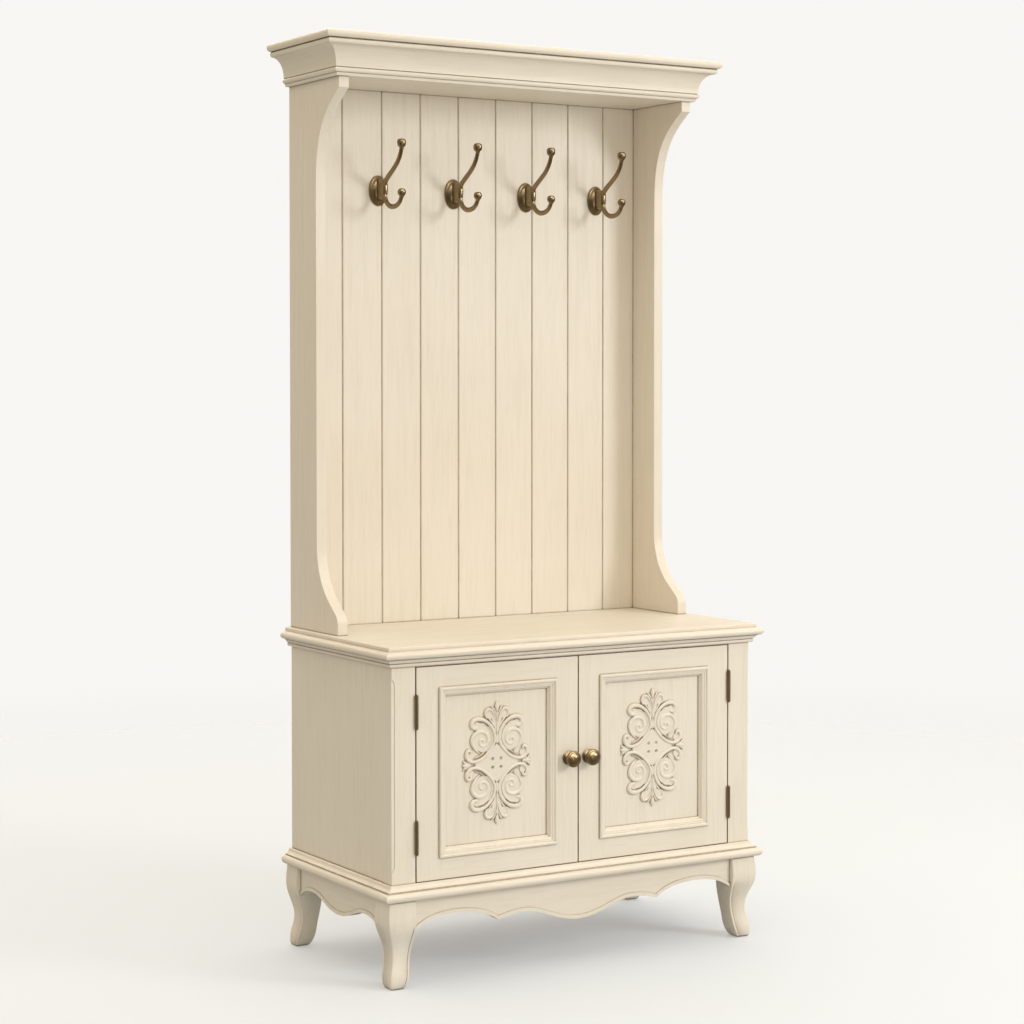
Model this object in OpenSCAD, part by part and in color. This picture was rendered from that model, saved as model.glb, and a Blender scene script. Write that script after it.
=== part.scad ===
/* [Overall] */
// Width of the cabinet and of the hutch above it
width = 840; // [700:10:1100]
// Depth of the cabinet, front face to back
depth = 430; // [380:5:560]
// Height to the top of the crown
height = 1830; // [1600:10:2100]

/* [Legs and apron] */
// Height of the legs
leg_h = 169; // [140:1:220]
// Width of a leg at its top
leg_w = 57; // [50:1:70]
// How far the legs stand out from the cabinet's faces
leg_proud = 9.5; // [5:0.5:14]
// Thickness of the apron boards
apron_t = 20; // [14:1:28]
// How far the aprons lie behind the outer faces of the legs
apron_set = 8; // [5:0.5:12]
// Height of the bead along the apron's lower edge
bead_h = 7; // [4:0.5:10]
// How far that bead stands out
bead_proud = 2.5; // [1:0.5:4]

/* [Cabinet] */
// Height of the base moulding
base_h = 30; // [24:1:44]
// Height of the door opening
opening_h = 412; // [340:2:520]
// Width of a front corner post
post_w = 51; // [40:1:70]
// Depth of a front corner post
post_d = 35; // [28:1:50]
// Width of the sunk strip along each post's outer corner
strip_w = 7; // [4:0.5:12]
// Depth of that strip
strip_deep = 1.4; // [0.5:0.1:3]
// Distance from the door opening's ends to the ends of that strip
strip_stop = 24; // [10:1:60]
// Thickness of the side boards
side_t = 18; // [12:1:25]
// How far the side boards lie behind the posts' faces
side_set = 2; // [1:0.5:5]
// Thickness of the cabinet's back panel
back_t = 6; // [4:1:12]
// Thickness of the cabinet's bottom board and shelf
board_t = 18; // [12:1:25]
// Height of the shelf's top above the cabinet's floor
shelf_z = 205; // [120:5:280]
// Radius of a shelf pin
pin_r = 2.5; // [2:0.25:4]
// Depth of the face rails, front to back
rail_d = 40; // [38:1:60]

/* [Bench] */
// Thickness of the bench top
bench_t = 24.5; // [18:0.5:36]
// How far the bench top overhangs the cabinet
bench_over = 23.5; // [22:0.5:32]
// Height of the moulding under the bench top
bench_mould_h = 14.5; // [14:0.5:24]

/* [Doors] */
// Thickness of a door
door_t = 20; // [18:0.5:26]
// Gap above and below a door
door_gap = 1.5; // [1:0.25:3]
// Gap between the two doors
middle_gap = 3; // [2.5:0.25:5]
// Width of a door's stiles
stile_w = 58; // [50:1:80]
// Height of a door's rails
rail_h = 50; // [44:1:80]
// How far the door's panel lies behind its frame
panel_set = 9.5; // [9:0.5:11]
// Thickness of a door's panel
panel_t = 7; // [5:0.5:8]
// Depth of the groove that holds the panel
groove = 8; // [5:0.5:12]
// Length of a rail's tenon
tenon_l = 25; // [15:1:40]
// Width of the moulding round a door's panel
frame_mould_w = 19; // [16:0.5:26]
// How far that moulding laps onto the stiles and rails
frame_mould_lap = 9.5; // [7:0.5:11]
// Width of the carved ornament
ornament_w = 158; // [110:2:200]
// Height of the carved ornament
ornament_h = 241; // [170:2:280]
// Height of the ornament's centre above the door's centre
ornament_rise = 7; // [-10:1:15]
// Thickness of the carved ornament
ornament_t = 5; // [3:0.5:7]

/* [Hardware] */
// Length of a hinge
hinge_l = 63; // [50:1:90]
// Radius of a hinge's barrel
barrel_r = 3.2; // [3:0.1:5]
// Thickness of a hinge leaf
leaf_t = 1.2; // [0.8:0.1:1.4]
// Distance from a door's end to the near end of its hinge
hinge_inset = 53; // [20:1:90]
// Radius of a knob's dome
knob_r = 16.5; // [12:0.5:20]
// How far a knob stands out from the door
knob_out = 28; // [26:0.5:36]
// Distance from the door's edge to the knob's centre
knob_edge = 21.5; // [18:0.5:29]
// Height of the knobs above the middle of the doors
knob_rise = 4; // [-20:1:40]
// Width of a hook's plate
hook_plate_w = 42; // [34:1:56]
// Height of a hook's plate
hook_plate_h = 62; // [54:1:80]
// Height of the hook plates' centres above the floor
hook_z = 1543; // [1350:1:1600]
// Distance between hooks
hook_pitch = 178.5; // [140:0.5:190]
// Distance of the row of hooks to the right of the centre
hook_shift = 31; // [-40:1:40]

/* [Hutch] */
// Thickness of the hutch's side panels
panel_w = 22; // [18:1:30]
// Distance from the cabinet's front to the crown's front
hutch_set = 210; // [190:1:250]
// Distance from the cabinet's front to the side panels' narrow stretch
waist_set = 311; // [290:1:330]
// Width of one full plank of the hutch's back
plank_w = 91.1; // [80:0.1:110]
// Thickness of a plank
plank_t = 14; // [10:0.5:20]
// Depth of the V-groove between planks
vee = 2.5; // [1:0.5:4]
// Thickness of the rails behind the planks
back_rail_t = 24; // [18:1:30]
// Height of the crown moulding, from the soffit to the cap
crown_h = 68; // [60:1:90]
// Thickness of the cap board
cap_t = 15; // [12:0.5:20]
// How far the cap overhangs the hutch
cap_over = 50; // [48:0.5:60]
// Radius of the pilot holes for a wall strap
strap_hole_r = 2; // [1.5:0.25:3]
// Distance between those pilot holes
strap_pitch = 600; // [400:10:640]

/* [Hidden] */
// Clearance of a glued or slotted joint
slip = 0.15;
// Radial clearance of a running or a pinned fit
fit = 0.05;

paint = "#e9dec8";
brass = "#7d6743";
steel = "#a9a9a4";

// Planes. The origin is on the floor, below the middle of the whole object's depth.
back_y = (depth + knob_out) / 2;
front_y = back_y - depth;
hutch_y = front_y + hutch_set;
half_w = width / 2;

// Levels
base_top = leg_h + base_h;
opening_top = base_top + opening_h;
bench_under = opening_top + 2 + bench_mould_h;
bench_z = bench_under + bench_t;
cap_z = height - cap_t;
soffit_z = cap_z - crown_h;

// Cabinet
opening_x = half_w - post_w;
side_out = half_w - side_set;
side_in = side_out - side_t;
inner_back = back_y - back_t;

// Hinge line of a door: in the middle of the gap, just in front of the door's face
hinge_gap = 2 * leaf_t + 0.6;
pin_x = opening_x - hinge_gap / 2;
barrel_y = front_y - barrel_r - 0.5;
hinge_pin_r = barrel_r * 0.45;
knuckles = 5;

// Doors
door_x0 = middle_gap / 2;
door_x1 = opening_x - hinge_gap;
door_mid = (door_x0 + door_x1) / 2;
door_z0 = base_top + door_gap;
door_z1 = opening_top - door_gap;
door_cz = (door_z0 + door_z1) / 2;
knob_x = door_x0 + knob_edge;
knob_z = door_cz + knob_rise;

// Hutch
panel_in = half_w - panel_w;
plank_y = back_y - back_rail_t - plank_t;
hook_y = plank_y;
hooks = 4;
planks = 9;

// Point at t on the cubic curve with ends a, d and handles b, c
function bez(a, b, c, d, t) =
    pow(1 - t, 3) * a + 3 * t * pow(1 - t, 2) * b + 3 * t * t * (1 - t) * c + t * t * t * d;
function curve(a, b, c, d, n = 8) = [for (i = [0:n - 1]) bez(a, b, c, d, i / n)];
// Arc of an ellipse round (x, y), from angle a0 to angle a1
function arc(x, y, rx, ry, a0, a1, n = 10) =
    [for (i = [0:n]) let (a = a0 + (a1 - a0) * i / n) [x + rx * cos(a), y + ry * sin(a)]];
function flipped(points) = [for (i = [len(points) - 1:-1:0]) [-points[i][0], points[i][1]]];
function hook_x(i) = hook_shift + (i - (hooks + 1) / 2) * hook_pitch;
// Left edge of plank i: the middle planks are full ones and the two outer ones are trimmed
function plank_edge(i) =
    i <= 1 ? -panel_in : i > planks ? panel_in : (i - 1 - planks / 2) * plank_w;

// Runs a profile along X, with its points as (y, z)
module along_x(x0, x1) {
    translate([x0, 0, 0]) rotate([90, 0, 90]) linear_extrude(x1 - x0) children();
}

// Runs a profile along Y, with its points as (x, z)
module along_y(y0, y1) {
    translate([0, y1, 0]) rotate([90, 0, 0]) linear_extrude(y1 - y0) children();
}

module box(x0, x1, y0, y1, z0, z1) {
    translate([x0, y0, z0]) cube([x1 - x0, y1 - y0, z1 - z0]);
}

module both_sides() {
    children();
    mirror([1, 0, 0]) children();
}

// A moulding's front run, mitred at both ends. The profile's points are (out, z).
module front_run(profile, y) {
    reach = 80;
    intersection() {
        along_x(-half_w - reach, half_w + reach)
            polygon([for (p = profile) [y - p[0], p[1]]]);
        linear_extrude(height)
            polygon([[-half_w - reach, y - reach], [half_w + reach, y - reach],
                     [half_w - 1, y + 1], [-half_w + 1, y + 1]]);
    }
}

// The same moulding's run along the right side, mitred at its front end
module side_run(profile, y) {
    reach = 80;
    intersection() {
        along_y(y - reach, back_y) polygon([for (p = profile) [half_w + p[0], p[1]]]);
        linear_extrude(height)
            polygon([[half_w - 1, y + 1], [half_w + reach, y - reach],
                     [half_w + reach, back_y], [half_w - 1, back_y]]);
    }
}

// A board whose moulded edge returns along both sides: profile is (out, z)
module moulded_board(profile, y) {
    back = [back_y + 1, profile[len(profile) - 1][1]];
    low = [back_y + 1, profile[0][1]];
    intersection() {
        along_x(-half_w - 80, half_w + 80)
            polygon(concat([low], [for (p = profile) [y - p[0], p[1]]], [back]));
        along_y(y - 80, back_y)
            polygon(concat([for (p = profile) [half_w + p[0], p[1]]],
                           flipped([for (p = profile) [half_w + p[0], p[1]]])));
    }
}

/* ---- Hutch ---- */

// Outline of a side panel: an ogee foot, a narrow waist and a swept head
function side_outline() = let (
        foot = front_y + hutch_set + 10,
        knee = foot + 26,
        waist = front_y + waist_set,
        foot_z = bench_z + 20,
        knee_z = bench_z + 54,
        waist_z0 = bench_z + 183,
        waist_z1 = soffit_z - 207,
        head_z = soffit_z - 22
    ) concat(
        [[back_y, bench_z], [foot, bench_z]],
        curve([foot, foot_z], [foot, foot_z + 18], [knee - 14, knee_z - 12], [knee, knee_z], 8),
        curve([knee, knee_z], [knee + 35, knee_z + 25], [waist, waist_z0 - 70], [waist, waist_z0], 12),
        curve([waist, waist_z1], [waist, waist_z1 + 112], [hutch_y + 62, head_z - 39],
              [hutch_y, head_z], 14),
        [[hutch_y, head_z], [hutch_y, cap_z], [back_y, cap_z]]
    );

module side_panel() {
    color(paint) along_x(panel_in, half_w) polygon(side_outline());
}

// Section of a plank: V-grooved on its front edges, with a tongue on its right edge
// and a groove in its left one
module back_plank(i) {
    x0 = plank_edge(i);
    x1 = plank_edge(i + 1);
    tongue = 5;
    tongue_y0 = plank_y + plank_t / 2 - 2;
    tongue_y1 = tongue_y0 + 4;
    left_vee = i == 1 ? 0 : vee;
    right_vee = i == planks ? 0 : vee;
    color(paint) difference() {
        translate([0, 0, bench_z]) linear_extrude(soffit_z - bench_z) difference() {
            union() {
                polygon([[x0 + left_vee, plank_y], [x1 - right_vee, plank_y],
                         [x1, plank_y + right_vee], [x1, plank_y + plank_t],
                         [x0, plank_y + plank_t], [x0, plank_y + left_vee]]);
                if (i < planks)
                    translate([x1 - 1, tongue_y0]) square([tongue + 1, tongue_y1 - tongue_y0]);
            }
            if (i > 1)
                translate([x0 - 1, tongue_y0 - slip])
                    square([tongue + 1 + 2 * slip, tongue_y1 - tongue_y0 + 2 * slip]);
        }
        hook_screw_holes();
    }
}

// Rails behind the planks: the top one takes the wall strap, the middle one the hooks
module back_rails() {
    y0 = back_y - back_rail_t;
    top_rail_w = 82;
    hook_rail_w = 90;
    low_rail_w = 70;
    strap_hole_depth = 20;
    color(paint) {
        difference() {
            box(-panel_in, panel_in, y0, back_y, soffit_z - top_rail_w, soffit_z);
            for (x = [-strap_pitch / 2, strap_pitch / 2])
                translate([x, back_y + 1, soffit_z - top_rail_w / 2]) rotate([90, 0, 0])
                    cylinder(r = strap_hole_r, h = strap_hole_depth + 1, $fn = 32);
        }
        difference() {
            box(-panel_in, panel_in, y0, back_y, hook_z - hook_rail_w / 2, hook_z + hook_rail_w / 2);
            hook_screw_holes();
        }
        box(-panel_in, panel_in, y0, back_y, bench_z, bench_z + low_rail_w);
    }
}

module soffit_board() {
    soffit_t = 16;
    color(paint) box(-panel_in, panel_in, hutch_y, back_y, soffit_z, soffit_z + soffit_t);
}

/* ---- Crown ---- */

// Fillet and bead, a deep cove, and a rounded fillet below the cap: points are (out, z)
function crown_profile() = let (
        bead_z = soffit_z + 6,
        cove_z = soffit_z + 18,
        lip_z = cap_z - 11,
        lip = cap_over - 8
    ) concat(
        [[0, soffit_z], [8, soffit_z]],
        [[9.5, bead_z - 1]],
        arc(9, bead_z + 5, 5.5, 5, -90, 90, 10),
        [[12, cove_z - 1.5]],
        arc(lip - 4, cove_z, lip - 16, lip_z - cove_z, 180, 92, 14),
        [[lip - 4, lip_z]],
        arc(lip - 5, lip_z + 5, 5, 5, -90, 0, 6),
        arc(lip - 4, cap_z - 4, 4, 4, 0, 90, 5),
        [[0, cap_z]]
    );

module crown_front() {
    color(paint) front_run(crown_profile(), hutch_y);
}

module crown_returns() {
    color(paint) both_sides() side_run(crown_profile(), hutch_y);
}

// Cap board with a full bullnose on its front and side edges
module crown_cap() {
    r = cap_t / 2;
    color(paint)
        moulded_board(arc(cap_over - r, cap_z + r, r, r, -90, 90, 12), hutch_y);
}

/* ---- Hooks ---- */

// Places what follows at hook i, with +X out from the wall and +Y up
module at_hook(i) {
    translate([hook_x(i), hook_y, hook_z]) rotate([90, 0, -90]) children();
}

// A bar of radius r along an arc of radius big, from angle a0 to angle a1
module bent_bar(x, y, big, r, a0, a1) {
    translate([x, y, 0]) rotate([0, 0, a0])
        rotate_extrude(angle = a1 - a0, $fn = 72) translate([big, 0]) circle(r = r, $fn = 24);
}

// A straight bar from (x0, y0) to (x1, y1)
module bar(x0, y0, x1, y1, r) {
    length = norm([x1 - x0, y1 - y0]);
    translate([x0, y0, 0]) rotate([0, 0, atan2(y1 - y0, x1 - x0)]) rotate([0, 90, 0])
        cylinder(r = r, h = length, $fn = 24);
}

module ball(x, y, r) {
    translate([x, y, 0]) sphere(r = r, $fn = 32);
}

// A double coat hook: domed oval plate, swept upper arm and J-shaped lower arm
module hook(i) {
    arm_r = 4.6;
    tip_r = 9;
    plate_r = hook_plate_w / 2;
    rise = (hook_plate_h - hook_plate_w) / 2;
    upper_r = 68;
    sweep_x = 68;
    sweep_y = 39;
    sweep_a = 32;
    rise_a = 52;
    low_x = 65;
    low_y = -2;
    low_r = 35;
    low_a0 = 194;
    low_a1 = 350;
    plate_edge = 5;
    dome = 8;
    collar = 0.3;
    color(brass) at_hook(i) difference() {
        union() {
            // Plate and the boss that the arms grow from
            hull() for (s = [-rise, rise])
                translate([0, s, 0]) rotate([0, 90, 0]) cylinder(r = plate_r, h = plate_edge, $fn = 48);
            hull() for (s = [-rise, rise])
                translate([plate_edge - 1, s * 0.8, 0]) rotate([0, 90, 0])
                    cylinder(r1 = plate_r - 3, r2 = plate_r - 12, h = dome, $fn = 32);
            // Upper arm
            bar(4, 5, sweep_x, sweep_y, arm_r);
            ball(sweep_x, sweep_y, arm_r + collar);
            bent_bar(sweep_x - upper_r * sin(sweep_a), sweep_y + upper_r * cos(sweep_a),
                     upper_r, arm_r, sweep_a - 90, sweep_a - 90 + rise_a);
            ball(sweep_x + upper_r * (sin(sweep_a + rise_a) - sin(sweep_a)),
                 sweep_y + upper_r * (cos(sweep_a) - cos(sweep_a + rise_a)), tip_r);
            // Lower arm
            bar(5, 6, low_x + low_r * cos(low_a0), low_y + low_r * sin(low_a0), arm_r);
            ball(low_x + low_r * cos(low_a0), low_y + low_r * sin(low_a0), arm_r + collar);
            bent_bar(low_x, low_y, low_r, arm_r, low_a0, low_a1);
            ball(low_x + low_r * cos(low_a1), low_y + low_r * sin(low_a1), tip_r);
        }
        // Blind holes for the two screws that come from behind
        for (s = [-hook_screw_step, hook_screw_step])
            translate([-1, s, 0]) rotate([0, 90, 0])
                cylinder(r = hook_screw_r, h = hook_screw_bite + 1.5, $fn = 24);
    }
}

hook_screw_r = 2;
hook_screw_step = 16;
hook_screw_bite = 4.5;
hook_screw_head_r = 4;
hook_screw_head_h = 3;

module each_hook_screw() {
    for (i = [1:hooks], s = [-hook_screw_step, hook_screw_step])
        translate([hook_x(i), back_y, hook_z + s]) rotate([90, 0, 0]) children();
}

module hook_screw_holes() {
    each_hook_screw() union() {
        translate([0, 0, -1])
            cylinder(r = hook_screw_r + fit, h = back_rail_t + plank_t + 2, $fn = 24);
        translate([0, 0, -1])
            cylinder(r = hook_screw_head_r + fit, h = hook_screw_head_h + 1, $fn = 24);
    }
}

// Screws through the hook rail and the planks into the plates
module hook_screws() {
    color(steel) each_hook_screw() union() {
        cylinder(r = hook_screw_head_r, h = hook_screw_head_h, $fn = 24);
        cylinder(r = hook_screw_r - fit, h = back_rail_t + plank_t + hook_screw_bite, $fn = 24);
    }
}

/* ---- Bench ---- */

// Moulded edge of the bench top: a thumbnail nose under a small fillet
function bench_profile() = let (
        nose = bench_over - 12,
        nose_z = bench_under + 8.5
    ) concat(
        [[12, bench_under]],
        arc(12, nose_z, nose, 8, -80, 90, 16),
        [[12, bench_z - 1.5], [10.5, bench_z]]
    );

module bench_top() {
    color(paint) moulded_board(bench_profile(), front_y);
}

// Bead, fillet and small cove under the bench top: points are (out, z)
function bench_mould_profile() = let (z = opening_top + 2) concat(
        [[0, z], [4, z]],
        arc(4, z + 4, 3.5, 4, -90, 90, 8),
        [[9, z + 8], [9, z + 10]],
        arc(15, z + 10, 5, bench_mould_h - 10, 180, 100, 6),
        [[15, bench_under], [0, bench_under]]
    );

module bench_moulding_front() {
    color(paint) front_run(bench_mould_profile(), front_y);
}

module bench_moulding_returns() {
    color(paint) both_sides() side_run(bench_mould_profile(), front_y);
}

/* ---- Cabinet ---- */

// A shallow strip sunk along the corner at (half_w, front_y), curving out at both ends
module stopped_strip() {
    z0 = base_top + strip_stop;
    z1 = opening_top - strip_stop + 4;
    taper = 14;
    edge = half_w - strip_w;
    translate([0, front_y + strip_deep, 0]) rotate([90, 0, 0]) linear_extrude(strip_deep + 1)
        polygon(concat(
            curve([half_w, z0], [half_w - 4, z0 + 3], [edge, z0 + taper - 6], [edge, z0 + taper]),
            curve([edge, z1 - taper], [edge, z1 - taper + 6], [half_w - 4, z1 - 3], [half_w, z1]),
            [[half_w, z1], [half_w + 1, z1], [half_w + 1, z0]]));
}

module post() {
    color(paint) difference() {
        box(opening_x, half_w, front_y, front_y + post_d, leg_h, bench_under);
        stopped_strip();
    }
}

pin_inset = 45;
pin_hole_depth = 10;
pin_out = 12;

module shelf_pin_places() {
    for (y = [front_y + post_d + pin_inset, inner_back - pin_inset])
        translate([side_in, y, base_top + shelf_z - board_t - pin_r]) rotate([0, 90, 0]) children();
}

module cabinet_side() {
    joint_y = front_y + post_d;
    color(paint) difference() {
        box(side_in, side_out, joint_y, back_y, leg_h, bench_under);
        // V-groove where the side meets the post
        translate([0, 0, leg_h - 1]) linear_extrude(bench_under - leg_h + 2)
            polygon([[side_out + 1, joint_y - 1], [side_out + 1, joint_y + vee + 1],
                     [side_out - vee, joint_y], [side_out - vee, joint_y - 1]]);
        shelf_pin_places() translate([0, 0, -1]) cylinder(r = pin_r + fit, h = pin_hole_depth + 1, $fn = 24);
    }
}

module cabinet_back() {
    color(paint) box(-side_in, side_in, inner_back, back_y, leg_h, bench_under);
}

module cabinet_bottom() {
    color(paint) difference() {
        box(-side_in, side_in, front_y + rail_d, inner_back, base_top - board_t, base_top);
        both_sides() box(opening_x, half_w, front_y, front_y + post_d, leg_h, bench_under);
    }
}

// Rails between the posts, below and above the doors
module face_rails() {
    color(paint) {
        box(-opening_x, opening_x, front_y, front_y + rail_d, leg_h, base_top);
        box(-opening_x, opening_x, front_y, front_y + rail_d, opening_top, bench_under);
    }
}

module shelf() {
    top = base_top + shelf_z;
    side_gap = 1.5;
    color(paint)
        box(side_gap - side_in, side_in - side_gap, front_y + post_d + 5, inner_back - 3, top - board_t, top);
}

module shelf_pins() {
    color(steel) both_sides() shelf_pin_places()
        translate([0, 0, -pin_out])
            cylinder(r = pin_r, h = pin_out + pin_hole_depth - 1, $fn = 24);
}

/* ---- Base ---- */

// Ovolo nose, fillet and small cove: points are (out, z)
function base_profile() = let (z = leg_h, nose_z = leg_h + 8.5) concat(
        [[0, z], [13, z]],
        arc(13.5, nose_z, 8.5, 8.5, -86, 90, 14),
        [[12.5, z + 17], [12.5, z + 20]],
        arc(13.5, base_top - 1, 8.5, base_h - 21, -90, -180, 8),
        [[4, base_top - 0.6], [3.4, base_top], [0, base_top]]
    );

module base_moulding_front() {
    color(paint) front_run(base_profile(), front_y);
}

module base_moulding_returns() {
    color(paint) both_sides() side_run(base_profile(), front_y);
}

// Lower edges of the aprons, for x from the middle to the leg: points are (x, z)
function front_edge() = let (end = half_w + leg_proud - leg_w, cusp = end / 2, drop = leg_h - 81)
    concat(
        curve([0, drop], [end * 0.14, drop], [end * 0.23, drop + 29], [end * 0.34, drop + 29], 10),
        curve([end * 0.34, drop + 29], [end * 0.4, drop + 29], [end * 0.46, drop + 25],
              [cusp, drop + 20], 5),
        curve([cusp, drop + 20], [cusp + 22, drop + 36], [cusp + 55, drop + 45],
              [end - 88, drop + 45], 8),
        curve([end - 88, drop + 45], [end - 48, drop + 45], [end - 20, drop + 36],
              [end, drop + 20], 8),
        [[end, drop + 20]]
    );

function side_edge() = let (
        end = (depth - 2 * (leg_w - leg_proud)) / 2,
        drop = leg_h - 66
    ) concat(
        curve([0, drop], [end * 0.3, drop], [end * 0.42, drop + 24], [end * 0.66, drop + 24], 10),
        curve([end * 0.66, drop + 24], [end * 0.82, drop + 24], [end * 0.94, drop + 17],
              [end, drop + 6], 8),
        [[end, drop + 6]]
    );

// An apron board with a bead along its shaped lower edge, facing -Y, back at y = apron_t
module apron(edge) {
    whole = concat(flipped(edge), [for (i = [1:len(edge) - 1]) edge[i]]);
    end = edge[len(edge) - 1][0];
    translate([0, apron_t, 0]) rotate([90, 0, 0]) {
        linear_extrude(apron_t) polygon(concat(whole, [[end, leg_h], [-end, leg_h]]));
        linear_extrude(apron_t + bead_proud)
            polygon(concat(whole, [for (i = [len(whole) - 1:-1:0])
                [whole[i][0], whole[i][1] + bead_h]]));
    }
}

module front_apron() {
    color(paint) translate([0, front_y - leg_proud + apron_set, 0]) apron(front_edge());
}

module side_aprons() {
    color(paint) both_sides()
        translate([half_w + leg_proud - apron_set, (front_y + back_y) / 2, 0])
            rotate([0, 0, 90]) apron(side_edge());
}

module rear_apron() {
    end = half_w + leg_proud - leg_w;
    rear_apron_w = 55;
    color(paint) box(-end, end, back_y - apron_t, back_y, leg_h - rear_apron_w, leg_h);
}

// Cabriole outline of a leg, as (distance in from its outer face, z)
function leg_outer() = concat(
        curve([10, 0], [7, 0], [5.5, 6], [5.5, 12], 5),
        curve([5.5, 12], [5.5, 30], [13.5, 38], [13.5, 62], 8),
        curve([13.5, 62], [13.5, 92], [-3, 105], [-3, leg_h - 37], 10),
        curve([-3, leg_h - 37], [-3, leg_h - 24], [-1, leg_h - 12], [0, leg_h], 4),
        [[0, leg_h]]
    );

function leg_inner() = concat(
        [[leg_w, leg_h]],
        curve([leg_w, leg_h - 54], [leg_w, leg_h - 81], [leg_w - 7, 56], [leg_w - 9, 34], 8),
        curve([leg_w - 9, 34], [leg_w - 11, 18], [leg_w - 17, 0], [leg_w - 25, 0], 7),
        [[leg_w - 25, 0]]
    );

function leg_outline() = concat(leg_outer(), leg_inner());

// A leg at the corner with the largest x and the given side in y (-1 front, 1 rear)
module leg(side) {
    outer_x = half_w + leg_proud;
    outer_y = side < 0 ? front_y - leg_proud : back_y + leg_proud;
    color(paint) intersection() {
        along_y(front_y - 20, back_y + 20)
            polygon([for (p = leg_outline()) [outer_x - p[0], p[1]]]);
        along_x(0, half_w + 20)
            polygon([for (p = leg_outline()) [outer_y - side * p[0], p[1]]]);
        box(0, half_w + 20, front_y - 20, back_y, -1, leg_h + 1);
    }
}

/* ---- Doors, drawn for the right-hand side ---- */

module door_stiles() {
    color(paint) difference() {
        union() {
            box(door_x0, door_x0 + stile_w, front_y, front_y + door_t, door_z0, door_z1);
            box(door_x1 - stile_w, door_x1, front_y, front_y + door_t, door_z0, door_z1);
        }
        panel_space(slip);
        rail_tenons(slip);
        translate([knob_x, front_y + door_t + 1, knob_z]) rotate([90, 0, 0])
            cylinder(r = 2 + fit, h = door_t + 2, $fn = 24);
    }
}

module panel_space(gap) {
    box(door_x0 + stile_w - groove - gap, door_x1 - stile_w + groove + gap,
        front_y + panel_set - gap, front_y + panel_set + panel_t + gap,
        door_z0 + rail_h - groove - gap, door_z1 - rail_h + groove + gap);
}

module rail_tenons(gap) {
    margin = 9;
    y0 = front_y + panel_set;
    for (z = [door_z0 + margin, door_z1 - rail_h + groove + 2])
        box(door_x0 + stile_w - tenon_l - gap, door_x1 - stile_w + tenon_l + gap,
            y0 - gap, y0 + panel_t + gap, z - gap, z + rail_h - groove - margin - 2 + gap);
}

module door_rails() {
    color(paint) difference() {
        union() {
            for (z = [door_z0, door_z1 - rail_h])
                box(door_x0 + stile_w, door_x1 - stile_w, front_y, front_y + door_t, z, z + rail_h);
            rail_tenons(0);
        }
        panel_space(slip);
        box(door_x0 + stile_w - tenon_l - 1, door_x1 - stile_w + tenon_l + 1,
            front_y - 1, front_y + door_t + 1, door_z0 + rail_h, door_z1 - rail_h);
    }
}

module door_panel() {
    color(paint) panel_space(0);
}

// Section of the panel moulding, as (distance in from its outer edge, height over the frame)
function frame_mould_profile() = let (w = frame_mould_w, deep = panel_set, step = w * 0.55) concat(
        [[0, 0], [0, 2.5]],
        arc(3.5, 2.5, 3.5, 3, 180, 0, 8),
        [[step - 2.5, 2.5], [step, 1.5]],
        arc(step, -deep * 0.45, w * 0.3, deep * 0.45 + 0.5, 90, 0, 7),
        [[w - 1.5, -deep * 0.62], [w, -deep * 0.72], [w, -deep],
         [frame_mould_lap + slip, -deep], [frame_mould_lap + slip, 0]]
    );

// Four mitred lengths of moulding round the panel
module door_moulding() {
    x0 = door_x0 + stile_w - frame_mould_lap;
    x1 = door_x1 - stile_w + frame_mould_lap;
    z0 = door_z0 + rail_h - frame_mould_lap;
    z1 = door_z1 - rail_h + frame_mould_lap;
    cx = (x0 + x1) / 2;
    cz = (z0 + z1) / 2;
    color(paint)
        for (turn = [0, 90, 180, 270]) {
            long = turn % 180 == 0 ? (x1 - x0) / 2 : (z1 - z0) / 2;
            away = turn % 180 == 0 ? (z1 - z0) / 2 : (x1 - x0) / 2;
            translate([cx, front_y, cz]) rotate([0, turn, 0]) intersection() {
                along_x(-long, long)
                    polygon([for (p = frame_mould_profile()) [-p[1], p[0] - away]]);
                along_y(-20, 20)
                    polygon([[-long, -away], [long, -away], [long - frame_mould_w - 5,
                             -away + frame_mould_w + 5], [-long + frame_mould_w + 5,
                             -away + frame_mould_w + 5]]);
            }
        }
}

// Volutes of one quarter of the ornament, as [x, y, outer radius, width of the band], drawn
// for an ornament of drawn_w by drawn_h and scaled to its real size
volutes = [[30, 62, 27, 6], [41, 33, 19, 6], [63, 17, 12, 5], [13, 95, 12, 5]];

drawn_w = 154;
drawn_h = 236;

// Share of its own size that the ornament keeps, so that it stays clear of the moulding
function ornament_share() = let (
        clear = 10,
        sight_w = door_x1 - door_x0 - 2 * (stile_w - frame_mould_lap + frame_mould_w),
        sight_h = door_z1 - door_z0 - 2 * (rail_h - frame_mould_lap + frame_mould_w)
    ) min(1, (sight_w - 2 * clear) / ornament_w,
          (sight_h - 2 * ornament_rise - 2 * clear) / ornament_h);

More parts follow.
